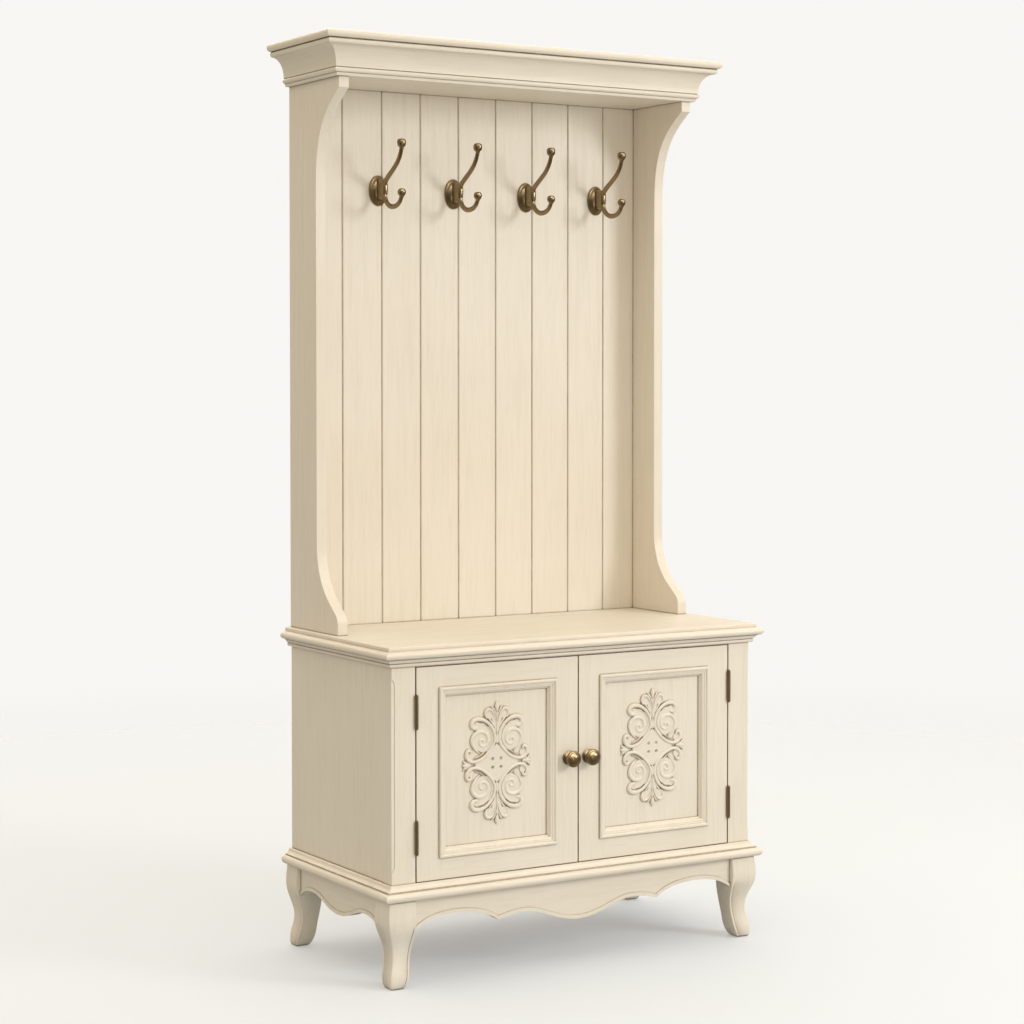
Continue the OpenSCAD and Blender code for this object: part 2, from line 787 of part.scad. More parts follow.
// Carved ornament on the panel: pierced scrollwork, mirrored about both of its axes
module door_ornament() {
    sx = ornament_share() * ornament_w / drawn_w;
    sy = ornament_share() * ornament_h / drawn_h;
    pit = 8;
    pit_r = 3;
    y = front_y + panel_set;
    color(paint) translate([door_mid, y, door_cz + ornament_rise]) rotate([90, 0, 0])
        linear_extrude(ornament_t) difference() {
            union() {
                for (mx = [0, 1], my = [0, 1], v = volutes)
                    mirror([mx, 0]) mirror([0, my]) translate([v[0] * sx, v[1] * sy])
                        difference() {
                            circle(r = v[2] * min(sx, sy), $fn = 48);
                            circle(r = (v[2] - v[3]) * min(sx, sy), $fn = 48);
                        }
                polygon([[0, 50 * sy], [54 * sx, 0], [0, -50 * sy], [-54 * sx, 0]]);
                for (m = [0, 1]) {
                    mirror([0, m]) polygon([[0, 84 * sy], [9 * sx, 104 * sy], [0, 118 * sy],
                                            [-9 * sx, 104 * sy]]);
                    mirror([m, 0]) polygon([[40 * sx, 0], [69 * sx, 8 * sy], [77 * sx, 0],
                                            [69 * sx, -8 * sy]]);
                }
            }
            for (x = [-pit, pit], z = [-pit, pit])
                translate([x * sx, z * sy]) circle(r = pit_r * min(sx, sy), $fn = 16);
        }
}

// Knob with its rosette and shank, and the screw head behind the door
module door_knob() {
    dome_z = knob_out - knob_r * 0.62;
    color(brass) translate([knob_x, front_y, knob_z]) rotate([90, 0, 0]) union() {
        rotate_extrude($fn = 64) polygon(concat(
            [[0, 0], [13.5, 0]],
            arc(11, 3, 2.5, 2.5, -20, 90, 5),
            [[7, 6.5], [6, 9], [7, 11.5]],
            arc(0, dome_z, knob_r, knob_r * 0.4, -55, 0, 6),
            arc(0, dome_z, knob_r, knob_r * 0.62, 6, 90, 12)));
        translate([0, 0, -door_t - 1]) cylinder(r = 2, h = door_t + 2, $fn = 24);
        translate([0, 0, -door_t - 2.5]) cylinder(r = 4.5, h = 2.5, $fn = 24);
    }
}

/* ---- Hinges and catches, drawn for the right-hand side ---- */

module each_hinge() {
    for (z = [door_z0 + hinge_inset, door_z1 - hinge_inset - hinge_l])
        translate([pin_x, barrel_y, z]) children();
}

// Knuckle k of a hinge with its tab; side is 1 for the post's leaf and -1 for the door's
module knuckle(k, side) {
    part_h = hinge_l / knuckles;
    gap = 0.3;
    tab_x = side > 0 ? hinge_gap / 2 - leaf_t : -hinge_gap / 2;
    translate([0, 0, k * part_h + gap / 2]) {
        cylinder(r = barrel_r, h = part_h - gap, $fn = 48);
        translate([tab_x, 0, 0]) cube([leaf_t, barrel_r + 1, part_h - gap]);
    }
}

module leaf(side) {
    x0 = side > 0 ? hinge_gap / 2 - leaf_t : -hinge_gap / 2;
    translate([x0, barrel_r + 0.5, 0]) cube([leaf_t, door_t - 3, hinge_l]);
}

// Leaves fixed to the posts, with the pins that they hold
module hinge_fixed_leaves() {
    color(brass) both_sides() each_hinge() union() {
        leaf(1);
        for (k = [0, 2, 4]) knuckle(k, 1);
        translate([0, 0, -1.5]) cylinder(r = hinge_pin_r, h = hinge_l + 3, $fn = 32);
        for (z = [-2, hinge_l - 0.5]) translate([0, 0, z]) cylinder(r = barrel_r * 0.65, h = 2.5, $fn = 32);
    }
}

// Leaves fixed to the door, turning on those pins
module door_hinges() {
    color(brass) each_hinge() difference() {
        union() {
            leaf(-1);
            for (k = [1, 3]) knuckle(k, -1);
        }
        translate([0, 0, -1]) cylinder(r = hinge_pin_r + fit, h = hinge_l + 2, $fn = 32);
    }
}

catch_x = door_x0 + 46;
catch_w = 44;
catch_h = 14;
strike_w = 36;
strike_t = 1.2;

// Magnetic catches under the upper face rail
module door_catches() {
    y0 = front_y + door_t + strike_t + 0.5;
    color(brass) both_sides()
        box(catch_x - catch_w / 2, catch_x + catch_w / 2, y0, front_y + rail_d - 2,
            opening_top - catch_h, opening_top);
}

module door_strike() {
    y0 = front_y + door_t;
    color(steel) box(catch_x - strike_w / 2, catch_x + strike_w / 2, y0, y0 + strike_t,
                     door_z1 - catch_h, door_z1 - 2);
}

/* ---- The assembly ---- */

mirror([1, 0, 0]) side_panel();  // left_side_panel
side_panel();  // right_side_panel
for (i = [1:planks]) back_plank(i);
back_rails();
soffit_board();
crown_front();
crown_returns();
crown_cap();
for (i = [1:hooks]) hook(i);
hook_screws();
bench_top();
bench_moulding_front();
bench_moulding_returns();
mirror([1, 0, 0]) post();  // left_post
post();  // right_post
mirror([1, 0, 0]) cabinet_side();  // left_cabinet_side
cabinet_side();  // right_cabinet_side
cabinet_back();
cabinet_bottom();
face_rails();
shelf();
shelf_pins();
door_catches();
hinge_fixed_leaves();
base_moulding_front();
base_moulding_returns();
front_apron();
side_aprons();
rear_apron();
mirror([1, 0, 0]) leg(-1);  // front_left_leg
leg(-1);  // front_right_leg
mirror([1, 0, 0]) leg(1);  // rear_left_leg
leg(1);  // rear_right_leg
mirror([1, 0, 0]) door_stiles();  // left_door_stiles
mirror([1, 0, 0]) door_rails();  // left_door_rails
mirror([1, 0, 0]) door_panel();  // left_door_panel
mirror([1, 0, 0]) door_moulding();  // left_door_moulding
mirror([1, 0, 0]) door_ornament();  // left_door_ornament
mirror([1, 0, 0]) door_knob();  // left_door_knob
mirror([1, 0, 0]) door_hinges();  // left_door_hinges
mirror([1, 0, 0]) door_strike();  // left_door_strike
door_stiles();  // right_door_stiles
door_rails();  // right_door_rails
door_panel();  // right_door_panel
door_moulding();  // right_door_moulding
door_ornament();  // right_door_ornament
door_knob();  // right_door_knob
door_hinges();  // right_door_hinges
door_strike();  // right_door_strike
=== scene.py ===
"""Painted hall tree: finishes for its CAD pieces, and its carved, cast and turned pieces."""
import math

import bpy
import numpy as np
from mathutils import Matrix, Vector


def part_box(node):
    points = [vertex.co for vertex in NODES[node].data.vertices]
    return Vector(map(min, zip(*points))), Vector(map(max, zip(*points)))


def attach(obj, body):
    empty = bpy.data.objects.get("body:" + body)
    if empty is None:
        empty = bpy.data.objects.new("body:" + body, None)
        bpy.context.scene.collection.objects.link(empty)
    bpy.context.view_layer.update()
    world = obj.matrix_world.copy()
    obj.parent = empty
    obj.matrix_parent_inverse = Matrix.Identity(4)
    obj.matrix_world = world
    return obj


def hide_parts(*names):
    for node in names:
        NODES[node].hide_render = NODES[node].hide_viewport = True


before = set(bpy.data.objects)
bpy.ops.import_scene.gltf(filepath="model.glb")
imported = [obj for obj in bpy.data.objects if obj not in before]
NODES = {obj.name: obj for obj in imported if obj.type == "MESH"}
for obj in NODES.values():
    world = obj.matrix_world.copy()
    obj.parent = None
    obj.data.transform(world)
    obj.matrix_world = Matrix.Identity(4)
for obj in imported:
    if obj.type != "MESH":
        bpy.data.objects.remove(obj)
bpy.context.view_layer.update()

bl_info = {
    "name": "Painted hall tree",
    "version": (1, 0, 0),
    "blender": (4, 5, 0),
    "location": "3D View > Sidebar > Hall tree",
    "description": "Finishes and carved, cast and turned pieces of a painted hall tree",
    "category": "Object",
}

MM = 0.001
DOORS = ("left_door", "right_door")
HOOKS = [name for name in sorted(NODES) if name.startswith("hook_") and name[5:].isdigit()]
LEGS = ("front_left_leg", "front_right_leg", "rear_left_leg", "rear_right_leg")
BRASS_NODES = ("door_catches", "hinge_fixed_leaves", "left_door_hinges", "right_door_hinges")
STEEL_NODES = ("hook_screws", "shelf_pins", "left_door_strike", "right_door_strike")
# Paint grain runs along a board: boards not named here have theirs upright
GRAIN_ALONG_X = (
    "bench_top", "crown_cap", "crown_front", "soffit_board", "base_moulding_front",
    "bench_moulding_front", "front_apron", "rear_apron", "face_rails", "back_rails", "shelf",
    "cabinet_bottom", "left_door_rails", "right_door_rails")
GRAIN_ALONG_Y = ("crown_returns", "base_moulding_returns", "bench_moulding_returns", "side_aprons")
MOULDED = ("crown_front", "crown_returns", "crown_cap", "base_moulding_front",
           "base_moulding_returns", "bench_moulding_front", "bench_moulding_returns",
           "bench_top", "left_door_moulding", "right_door_moulding")
FINE_ENDINGS = ("_stiles", "_rails", "_apron", "_aprons", "_post", "_cabinet_side")


# Sockets of the mix node that carry colours
COLOUR_A, COLOUR_B, MIXED_COLOUR = 6, 7, 2


# ---- Node helpers ----

def add_node(tree, kind, inputs=None, **settings):
    """Adds a node, sets its settings, and sets or links its inputs."""
    node = tree.nodes.new(kind)
    for name, value in settings.items():
        setattr(node, name, value)
    for name, value in (inputs or {}).items():
        socket = node.inputs[name]
        if isinstance(value, bpy.types.NodeSocket):
            tree.links.new(value, socket)
        else:
            socket.default_value = value
    return node


def math_node(tree, operation, a, b=0.0, clamp=False):
    """Adds a maths node and returns its result."""
    return add_node(tree, "ShaderNodeMath", {0: a, 1: b}, operation=operation,
                    use_clamp=clamp).outputs[0]


def ramp(tree, value, low, high, to_low=0.0, to_high=1.0):
    """Maps value from low..high to to_low..to_high with a smooth step."""
    node = add_node(tree, "ShaderNodeMapRange",
                    {"Value": value, "From Min": low, "From Max": high,
                     "To Min": to_low, "To Max": to_high},
                    interpolation_type="SMOOTHSTEP")
    return node.outputs["Result"]


def mixed(tree, factor, a, b):
    """Mixes two colours."""
    node = add_node(tree, "ShaderNodeMix", {"Factor": factor}, data_type="RGBA")
    for place, value in ((COLOUR_A, a), (COLOUR_B, b)):
        socket = node.inputs[place]
        if isinstance(value, bpy.types.NodeSocket):
            tree.links.new(value, socket)
        else:
            socket.default_value = (*value[:3], 1.0)
    return node.outputs[MIXED_COLOUR]


def new_group(name, inputs, outputs):
    """Makes a shader node group with named sockets and returns its tree, input and output."""
    tree = bpy.data.node_groups.new(name, "ShaderNodeTree")
    for socket, kind, default in inputs:
        made = tree.interface.new_socket(socket, in_out="INPUT", socket_type=kind)
        made.default_value = default
    for socket, kind in outputs:
        tree.interface.new_socket(socket, in_out="OUTPUT", socket_type=kind)
    return tree, tree.nodes.new("NodeGroupInput").outputs, tree.nodes.new("NodeGroupOutput").inputs


def recess_and_edge_group():
    """Masks of the recesses, for brown glazing and painted shade, of a broad band round them, for
    painted shade, and of the outer edges, for rubbed wear and, on paint, a painted highlight.
    """
    tree, given, out = new_group(
        "Recess and edge masks",
        [("Reach", "NodeSocketFloat", 0.004), ("Wide Reach", "NodeSocketFloat", 0.02),
         ("Edge Radius", "NodeSocketFloat", 0.0015),
         ("Vector", "NodeSocketVector", (0.0, 0.0, 0.0))],
        [("Recess", "NodeSocketFloat"), ("Shade", "NodeSocketFloat"),
         ("Edge", "NodeSocketFloat")])
    near = add_node(tree, "ShaderNodeAmbientOcclusion", {"Distance": given["Reach"]}, samples=10)
    wide = add_node(tree, "ShaderNodeAmbientOcclusion", {"Distance": given["Wide Reach"]},
                    samples=6)
    shut = math_node(tree, "SUBTRACT", 1.0, near.outputs["AO"])
    shut_wide = math_node(tree, "SUBTRACT", 1.0, wide.outputs["AO"])
    patches = add_node(tree, "ShaderNodeTexNoise",
                       {"Vector": given["Vector"], "Scale": 38.0, "Detail": 4.0}).outputs["Fac"]
    uneven = ramp(tree, patches, 0.3, 0.7, 0.7, 1.0)
    # Recess: on paint, brown glazing and painted shade in hollows and gaps; on metal, tarnish
    recess = math_node(tree, "MULTIPLY", ramp(tree, shut, 0.10, 0.55), uneven)
    tree.links.new(recess, out["Recess"])
    # Shade: a broad band round corners, for painted shade on the paint
    tree.links.new(ramp(tree, shut_wide, 0.15, 0.75), out["Shade"])
    rounded = add_node(tree, "ShaderNodeBevel", {"Radius": given["Edge Radius"]}, samples=6)
    normal = add_node(tree, "ShaderNodeNewGeometry").outputs["Normal"]
    turn = add_node(tree, "ShaderNodeVectorMath", {0: rounded.outputs[0], 1: normal},
                    operation="DOT_PRODUCT").outputs["Value"]
    bent = ramp(tree, math_node(tree, "SUBTRACT", 1.0, turn), 0.015, 0.14)
    open_air = ramp(tree, shut, 0.06, 0.30, 1.0, 0.0)
    # Edge: on paint, lighter edges that are partly rubbed wear and partly a painted highlight; on
    # brass, rubbed wear
    worn_and_highlit = ramp(tree, patches, 0.35, 0.62, 0.45, 1.0)
    edge = math_node(tree, "MULTIPLY", math_node(tree, "MULTIPLY", bent, open_air), worn_and_highlit)
    tree.links.new(edge, out["Edge"])
    return tree


def grain_group():
    """Wood grain under paint: broad drifts, fine lines along the grain, and brush marks."""
    tree, given, out = new_group(
        "Painted grain",
        [("Vector", "NodeSocketVector", (0.0, 0.0, 0.0)),
         ("Stretch", "NodeSocketVector", (1.0, 1.0, 1.0))],
        [("Height", "NodeSocketFloat"), ("Lines", "NodeSocketFloat"), ("Drift", "NodeSocketFloat")])
    along = add_node(tree, "ShaderNodeVectorMath", {0: given["Vector"], 1: given["Stretch"]},
                     operation="MULTIPLY").outputs["Vector"]
    wander = add_node(tree, "ShaderNodeTexNoise",
                      {"Vector": along, "Scale": 14.0, "Detail": 3.0, "Distortion": 0.6})
    lines = add_node(tree, "ShaderNodeTexNoise",
                     {"Vector": along, "Scale": 95.0, "Detail": 6.0, "Roughness": 0.62,
                      "Distortion": 0.8})
    pores = add_node(tree, "ShaderNodeTexNoise",
                     {"Vector": along, "Scale": 320.0, "Detail": 3.0, "Roughness": 0.55})
    drift = add_node(tree, "ShaderNodeTexNoise",
                     {"Vector": given["Vector"], "Scale": 3.4, "Detail": 3.0})
    fine = math_node(tree, "MULTIPLY", ramp(tree, pores.outputs["Fac"], 0.52, 0.70), 0.55)
    broad = ramp(tree, lines.outputs["Fac"], 0.44, 0.68)
    both = math_node(tree, "MULTIPLY", wander.outputs["Fac"], broad)
    tree.links.new(math_node(tree, "ADD", both, fine, clamp=True), out["Lines"])
    deep_lines = math_node(tree, "MULTIPLY", lines.outputs["Fac"], 1.4)
    tree.links.new(math_node(tree, "SUBTRACT", pores.outputs["Fac"], deep_lines), out["Height"])
    tree.links.new(ramp(tree, drift.outputs["Fac"], 0.3, 0.7), out["Drift"])
    return tree


def patina_group():
    """Uneven tarnish on cast brass: large blotches and fine speckle."""
    tree, given, out = new_group(
        "Brass patina", [("Vector", "NodeSocketVector", (0.0, 0.0, 0.0))],
        [("Tarnish", "NodeSocketFloat"), ("Height", "NodeSocketFloat")])
    blotch = add_node(tree, "ShaderNodeTexNoise",
                      {"Vector": given["Vector"], "Scale": 90.0, "Detail": 5.0, "Roughness": 0.6})
    speck = add_node(tree, "ShaderNodeTexNoise",
                     {"Vector": given["Vector"], "Scale": 900.0, "Detail": 2.0})
    shade = math_node(tree, "MULTIPLY", ramp(tree, blotch.outputs["Fac"], 0.36, 0.66), 0.8)
    fine = math_node(tree, "MULTIPLY", speck.outputs["Fac"], 0.2)
    tree.links.new(math_node(tree, "ADD", shade, fine), out["Tarnish"])
    tree.links.new(speck.outputs["Fac"], out["Height"])
    return tree


def placed_group(tree, group, **inputs):
    """Places a node group in a material with its own values."""
    node = tree.nodes.new("ShaderNodeGroup")
    node.node_tree = group
    for name, value in inputs.items():
        socket = node.inputs[name.replace("_", " ")]
        if isinstance(value, bpy.types.NodeSocket):
            tree.links.new(value, socket)
        else:
            socket.default_value = value
    return node.outputs


# ---- Materials ----

def new_material(name):
    """Makes a material and returns it with its tree, its shader and its object coordinates."""
    material = bpy.data.materials.new(name)
    material.use_nodes = True
    tree = material.node_tree
    tree.nodes.clear()
    shader = tree.nodes.new("ShaderNodeBsdfPrincipled")
    output = tree.nodes.new("ShaderNodeOutputMaterial")
    tree.links.new(shader.outputs["BSDF"], output.inputs["Surface"])
    coordinates = add_node(tree, "ShaderNodeTexCoord").outputs["Object"]
    return material, tree, shader, coordinates


def add_bump(tree, shader, height, strength, distance):
    """Bumps a shader's surface by a height."""
    bump = add_node(tree, "ShaderNodeBump",
                    {"Height": height, "Strength": strength, "Distance": distance})
    tree.links.new(bump.outputs["Normal"], shader.inputs["Normal"])


def painted_wood(name, stretch, finish, masks, grain, glaze_and_shade_amount, glaze_and_shade_reach):
    """Ivory paint over grain, brown glazing that is partly painted shade in the recesses, painted
    shade round them, and lighter edges that are partly rubbed wear and partly a painted highlight.
    """
    material, tree, shader, at = new_material(name)
    mask = placed_group(tree, masks, Reach=glaze_and_shade_reach, Wide_Reach=finish.shade_reach,
                        Edge_Radius=finish.edge_radius, Vector=at)
    wood = placed_group(tree, grain, Vector=at, Stretch=stretch)
    base = mixed(tree, wood["Drift"], finish.paint, finish.paint_warm)
    grained = mixed(tree, math_node(tree, "MULTIPLY", wood["Lines"], finish.grain), base,
                    finish.glaze_and_shade)
    # Lighter edges: partly rubbed wear, partly a painted highlight
    worn_and_highlit = mixed(tree, math_node(tree, "MULTIPLY", mask["Edge"], finish.wear_and_highlight), grained,
                 finish.edge_wear_and_highlight_tone)
    # Painted shade: a broad darkening round corners, in the same brown
    toned = mixed(tree, math_node(tree, "MULTIPLY", mask["Shade"], finish.shade_amount), worn_and_highlit,
                  finish.glaze_and_shade)
    # Brown glazing plus painted shade in the recesses and gaps
    glazed_and_shaded = mixed(tree, math_node(tree, "MULTIPLY", mask["Recess"], glaze_and_shade_amount), toned,
                   finish.glaze_and_shade)
    tree.links.new(glazed_and_shaded, shader.inputs["Base Color"])
    rough = ramp(tree, wood["Lines"], 0.0, 1.0, 0.42, 0.58)
    tree.links.new(rough, shader.inputs["Roughness"])
    shader.inputs["Specular IOR Level"].default_value = 0.35
    add_bump(tree, shader, wood["Height"], strength=0.32, distance=0.6 * MM)
    return material


def antique_brass(name, finish, masks, patina):
    """Cast brass, darkened by tarnish in the recesses, rubbed bright on the high spots, and painted
    darker as shade towards its outline.
    """
    material, tree, shader, at = new_material(name)
    mask = placed_group(tree, masks, Reach=6 * MM, Edge_Radius=1.2 * MM, Vector=at)
    age = placed_group(tree, patina, Vector=at)
    toned = mixed(tree, age["Tarnish"], finish.brass, finish.brass_tarnish_and_rim_shade)
    rubbed = mixed(tree, math_node(tree, "MULTIPLY", mask["Edge"], 0.7), toned, finish.brass_bright)
    shaded = mixed(tree, math_node(tree, "MULTIPLY", mask["Recess"], 0.85), rubbed,
                   finish.brass_tarnish_and_rim_shade)
    # Painted shade: the brass turns to the tarnish brown where its surface turns away from the
    # view, drawing dark outlines
    facing = add_node(tree, "ShaderNodeLayerWeight", {"Blend": 0.5}).outputs["Facing"]
    rim_shaded = mixed(tree, ramp(tree, facing, 0.30, 0.85, 0.0, 0.92), shaded, finish.brass_tarnish_and_rim_shade)
    tree.links.new(rim_shaded, shader.inputs["Base Color"])
    shader.inputs["Specular Tint"].default_value = (0.14, 0.10, 0.06, 1.0)
    shader.inputs["Metallic"].default_value = 1.0
    tree.links.new(ramp(tree, age["Tarnish"], 0.0, 1.0, 0.14, 0.28), shader.inputs["Roughness"])
    add_bump(tree, shader, age["Height"], strength=0.12, distance=0.2 * MM)
    return material


def zinc_steel(name, finish, masks, patina):
    """Zinc-plated steel of the screws, shelf pins and strike plates."""
    material, tree, shader, at = new_material(name)
    mask = placed_group(tree, masks, Reach=5 * MM, Edge_Radius=0.8 * MM, Vector=at)
    age = placed_group(tree, patina, Vector=at)
    toned = mixed(tree, age["Tarnish"], finish.steel, finish.steel_dull)
    shaded = mixed(tree, mask["Recess"], toned, finish.steel_dull)
    tree.links.new(shaded, shader.inputs["Base Color"])
    shader.inputs["Metallic"].default_value = 1.0
    tree.links.new(ramp(tree, age["Tarnish"], 0.0, 1.0, 0.28, 0.45), shader.inputs["Roughness"])
    add_bump(tree, shader, age["Height"], strength=0.08, distance=0.2 * MM)
    return material


def grain_of(name):
    """The paint material for a CAD node, by the run of its grain."""
    if name in GRAIN_ALONG_X:
        return bpy.data.materials["paint_along_x"]
    if name in GRAIN_ALONG_Y:
        return bpy.data.materials["paint_along_y"]
    return bpy.data.materials["paint_upright"]


# ---- Mesh helpers ----

def new_piece(name, vertices, faces, material, body, replaces=()):
    """Makes a smooth-shaded mesh piece that rides on a body."""
    mesh = bpy.data.meshes.new(name)
    mesh.from_pydata([tuple(v) for v in vertices], [], [tuple(f) for f in faces])
    mesh.validate()
    mesh.polygons.foreach_set("use_smooth", [True] * len(mesh.polygons))
    mesh.materials.append(material)
    piece = bpy.data.objects.new(name, mesh)
    bpy.context.scene.collection.objects.link(piece)
    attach(piece, body)
    if replaces:
        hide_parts(*replaces)
    return piece


def cubic(points, count=12):
    """Points along a chain of cubic curves: every third point is on the curve."""
    chain = [Vector(p) for p in points]
    steps = []
    for start in range(0, len(chain) - 1, 3):
        a, b, c, d = chain[start:start + 4]
        for i in range(count):
            t = i / count
            steps.append(a * (1 - t) ** 3 + b * (3 * t * (1 - t) ** 2)
                         + c * (3 * t * t * (1 - t)) + d * t ** 3)
    return steps + [chain[-1]]


def add_rings(vertices, faces, rings):
    """Adds a skin over rings of equal length to the lists, with its ends closed."""
    first = len(vertices)
    count = len(rings[0])
    for ring in rings:
        vertices.extend(ring)
    for r in range(len(rings) - 1):
        low = first + r * count
        for i in range(count):
            j = (i + 1) % count
            faces.append((low + i, low + j, low + count + j, low + count + i))
    faces.append(tuple(reversed(range(first, first + count))))
    last = first + (len(rings) - 1) * count
    faces.append(tuple(range(last, last + count)))


def turns(count):
    """Equal steps of angle round a full turn."""
    return [math.tau * i / count for i in range(count)]


def lathe(profile, place, sides):
    """Rings of a turned shape from (radius, distance) pairs. place turns (x, y, distance) to
    a point of the piece."""
    return [[place(radius * math.cos(turn), radius * math.sin(turn), along)
             for turn in turns(sides)] for radius, along in profile]


# ---- CAD pieces: softened edges and materials ----

WELD_DISTANCE = 0.02 * MM
# Angles between faces: below the first they are one flat face, below the second they are shaded
# smooth, and above the third their edge is rounded
FLAT_BELOW, SMOOTH_BELOW, ROUND_ABOVE = math.radians(0.3), math.radians(32), math.radians(38)
METAL_EDGE = 0.2 * MM


def geometry_group(name):
    """Makes a geometry node group and returns its tree, input and output geometry."""
    tree = bpy.data.node_groups.new(name, "GeometryNodeTree")
    tree.interface.new_socket("Geometry", in_out="INPUT", socket_type="NodeSocketGeometry")
    tree.interface.new_socket("Geometry", in_out="OUTPUT", socket_type="NodeSocketGeometry")
    given = tree.nodes.new("NodeGroupInput").outputs["Geometry"]
    return tree, given, tree.nodes.new("NodeGroupOutput").inputs["Geometry"]


def weld_group():
    """Welds a CAD mesh and drops its stored normals."""
    tree, given, out = geometry_group("Weld")
    plain = add_node(tree, "GeometryNodeRemoveAttribute",
                     {"Geometry": given, "Name": "custom_normal"})
    welded = add_node(tree, "GeometryNodeMergeByDistance",
                      {"Geometry": plain.outputs[0], "Distance": WELD_DISTANCE})
    tree.links.new(welded.outputs[0], out)
    return tree


def shade_group():
    """Shades gentle edges smooth and keeps sharp ones."""
    tree, given, out = geometry_group("Shade by angle")
    faces = add_node(tree, "GeometryNodeSetShadeSmooth", {"Geometry": given}, domain="FACE")
    angle = add_node(tree, "GeometryNodeInputMeshEdgeAngle").outputs["Unsigned Angle"]
    gentle = add_node(tree, "FunctionNodeCompare", {0: angle, 1: SMOOTH_BELOW},
                      operation="LESS_THAN").outputs[0]
    edges = add_node(tree, "GeometryNodeSetShadeSmooth",
                     {"Geometry": faces.outputs[0], "Shade Smooth": gentle}, domain="EDGE")
    tree.links.new(edges.outputs[0], out)
    return tree


def soften(piece, width, groups):
    """Welds a CAD node and rounds its edges, as modifiers that leave its mesh as it is."""
    piece.modifiers.new("Weld", "NODES").node_group = groups[0]
    flat = piece.modifiers.new("Merge flat faces", "DECIMATE")
    flat.decimate_type = "DISSOLVE"
    flat.angle_limit = FLAT_BELOW
    bevel = piece.modifiers.new("Rounded edges", "BEVEL")
    bevel.width = width
    bevel.segments = 2
    bevel.limit_method = "ANGLE"
    bevel.angle_limit = ROUND_ABOVE
    bevel.use_clamp_overlap = True
    piece.modifiers.new("Shade by angle", "NODES").node_group = groups[1]
    level = piece.modifiers.new("Flat faces stay flat", "WEIGHTED_NORMAL")
    level.keep_sharp = True
    level.weight = 90


# ---- Hooks ----

# All in mm. "Out" is away from the planks, and "up" is from the middle of the plate, which is
# this far above a hook's lowest point.
HOOK_MIDDLE = 41.6
# The plate's dome as (share of its full size, out)
PLATE_DOME = (
    (1.0, 0.0), (1.0, 1.8), (0.985, 2.8), (0.94, 3.7), (0.86, 4.4), (0.83, 5.2), (0.74, 7.4),
    (0.6, 9.4), (0.42, 10.9), (0.2, 11.8), (0.05, 12.0))
# The rib between the plate and the arms as (out, half width, lower end, upper end)
STRAP = ((6, 8.5, -20, 23), (16, 8.2, -19, 23), (24, 7.4, -17, 22), (30, 6.4, -14, 20),
         (33.5, 5.0, -11, 17), (35, 2.5, -7, 13))
# One chain of curves from the upper tip through the spine to the lower tip, as (out, up, 0)
ARM_LINE = (
    (101, 84, 0), (100, 72, 0), (92, 58, 0), (75, 45.5, 0), (60, 35, 0), (46, 28, 0),
    (36, 20, 0), (27, 12, 0), (26, 2, 0), (28.5, -10, 0), (32, -24, 0), (46, -37, 0),
    (65, -37, 0), (85, -37, 0), (98, -28, 0), (101.5, -14, 0))
ARM_RADIUS, ARM_SWELL, ARM_RIDGE, ARM_FLATTENING = 4.3, 1.0, 0.16, 0.92
# The arms' tips, turned about an upright axis, as (radius, height above the arm's end)
UPPER_TIP = ((4.0, -7), (4.4, -4), (5.6, -2.4), (7.6, -0.6), (8.7, 2.0), (9.1, 5.5), (9.0, 9.0),
             (8.2, 11.6), (6.4, 13.2), (3.6, 14.0), (0.5, 14.2))
LOWER_TIP = ((3.8, -6), (4.6, -3.5), (6.2, -1.8), (7.8, 0.6), (8.5, 3.4), (8.5, 6.4),
             (7.6, 9.2), (5.6, 11.1), (2.8, 12.1), (0.4, 12.2))
PLATE_SIDES, STRAP_SIDES, ARM_SIDES, TIP_SIDES = 56, 32, 20, 28


def hook_mesh(wall, sizes):
    """A cast double hook. wall is the middle of its plate on the planks; out is -Y."""
    vertices, faces = [], []

    def place(side, out, up):
        return (wall[0] + side * MM, wall[1] - out * MM, wall[2] + up * MM)

    half_w, half_h = sizes.plate_width / MM / 2, sizes.plate_height / MM / 2
    plate_turns = turns(PLATE_SIDES)
    add_rings(vertices, faces, [
        [place(half_w * share * math.cos(turn), out, half_h * share * math.sin(turn))
         for turn in plate_turns] for share, out in PLATE_DOME])
    strap = []
    for out, half, low_end, high_end in STRAP:
        mid, tall = (low_end + high_end) / 2, (high_end - low_end) / 2
        strap.append([place(half * superellipse(math.cos(turn)), out,
                            mid + tall * superellipse(math.sin(turn)))
                      for turn in turns(STRAP_SIDES)])
    add_rings(vertices, faces, strap)
    line = cubic(ARM_LINE)
    add_rings(vertices, faces, arm_rings(line, place))
    for end, tip in ((line[0], UPPER_TIP), (line[-1], LOWER_TIP)):
        add_rings(vertices, faces, lathe(
            tip, lambda x, y, up, end=end: place(x, end[0] + y, end[1] + up), TIP_SIDES))
    return vertices, faces


def superellipse(share):
    """Pushes a sine or cosine outward, so that an oval gets squarer."""
    return math.copysign(abs(share) ** 0.6, share)


def arm_rings(line, place):
    """Rings of a hook's arm: oval, thickest at its spine, with a fine ridge on its outer side."""
    rings = []
    last = len(line) - 1
    for k, at in enumerate(line):
        along = (line[min(k + 1, last)] - line[max(k - 1, 0)]).normalized()
        across = Vector((-along[1], along[0], 0))
        thick = ARM_RADIUS + ARM_SWELL * math.sin(math.pi * k / last)
        ring = []
        for turn in turns(ARM_SIDES):
            ridge = 1 + ARM_RIDGE * max(0.0, math.cos(turn)) ** 6
            out = at + across * (thick * ridge * math.cos(turn))
            ring.append(place(thick * ARM_FLATTENING * math.sin(turn), out[0], out[1]))
        rings.append(ring)
    return rings


# ---- Carved ornament ----

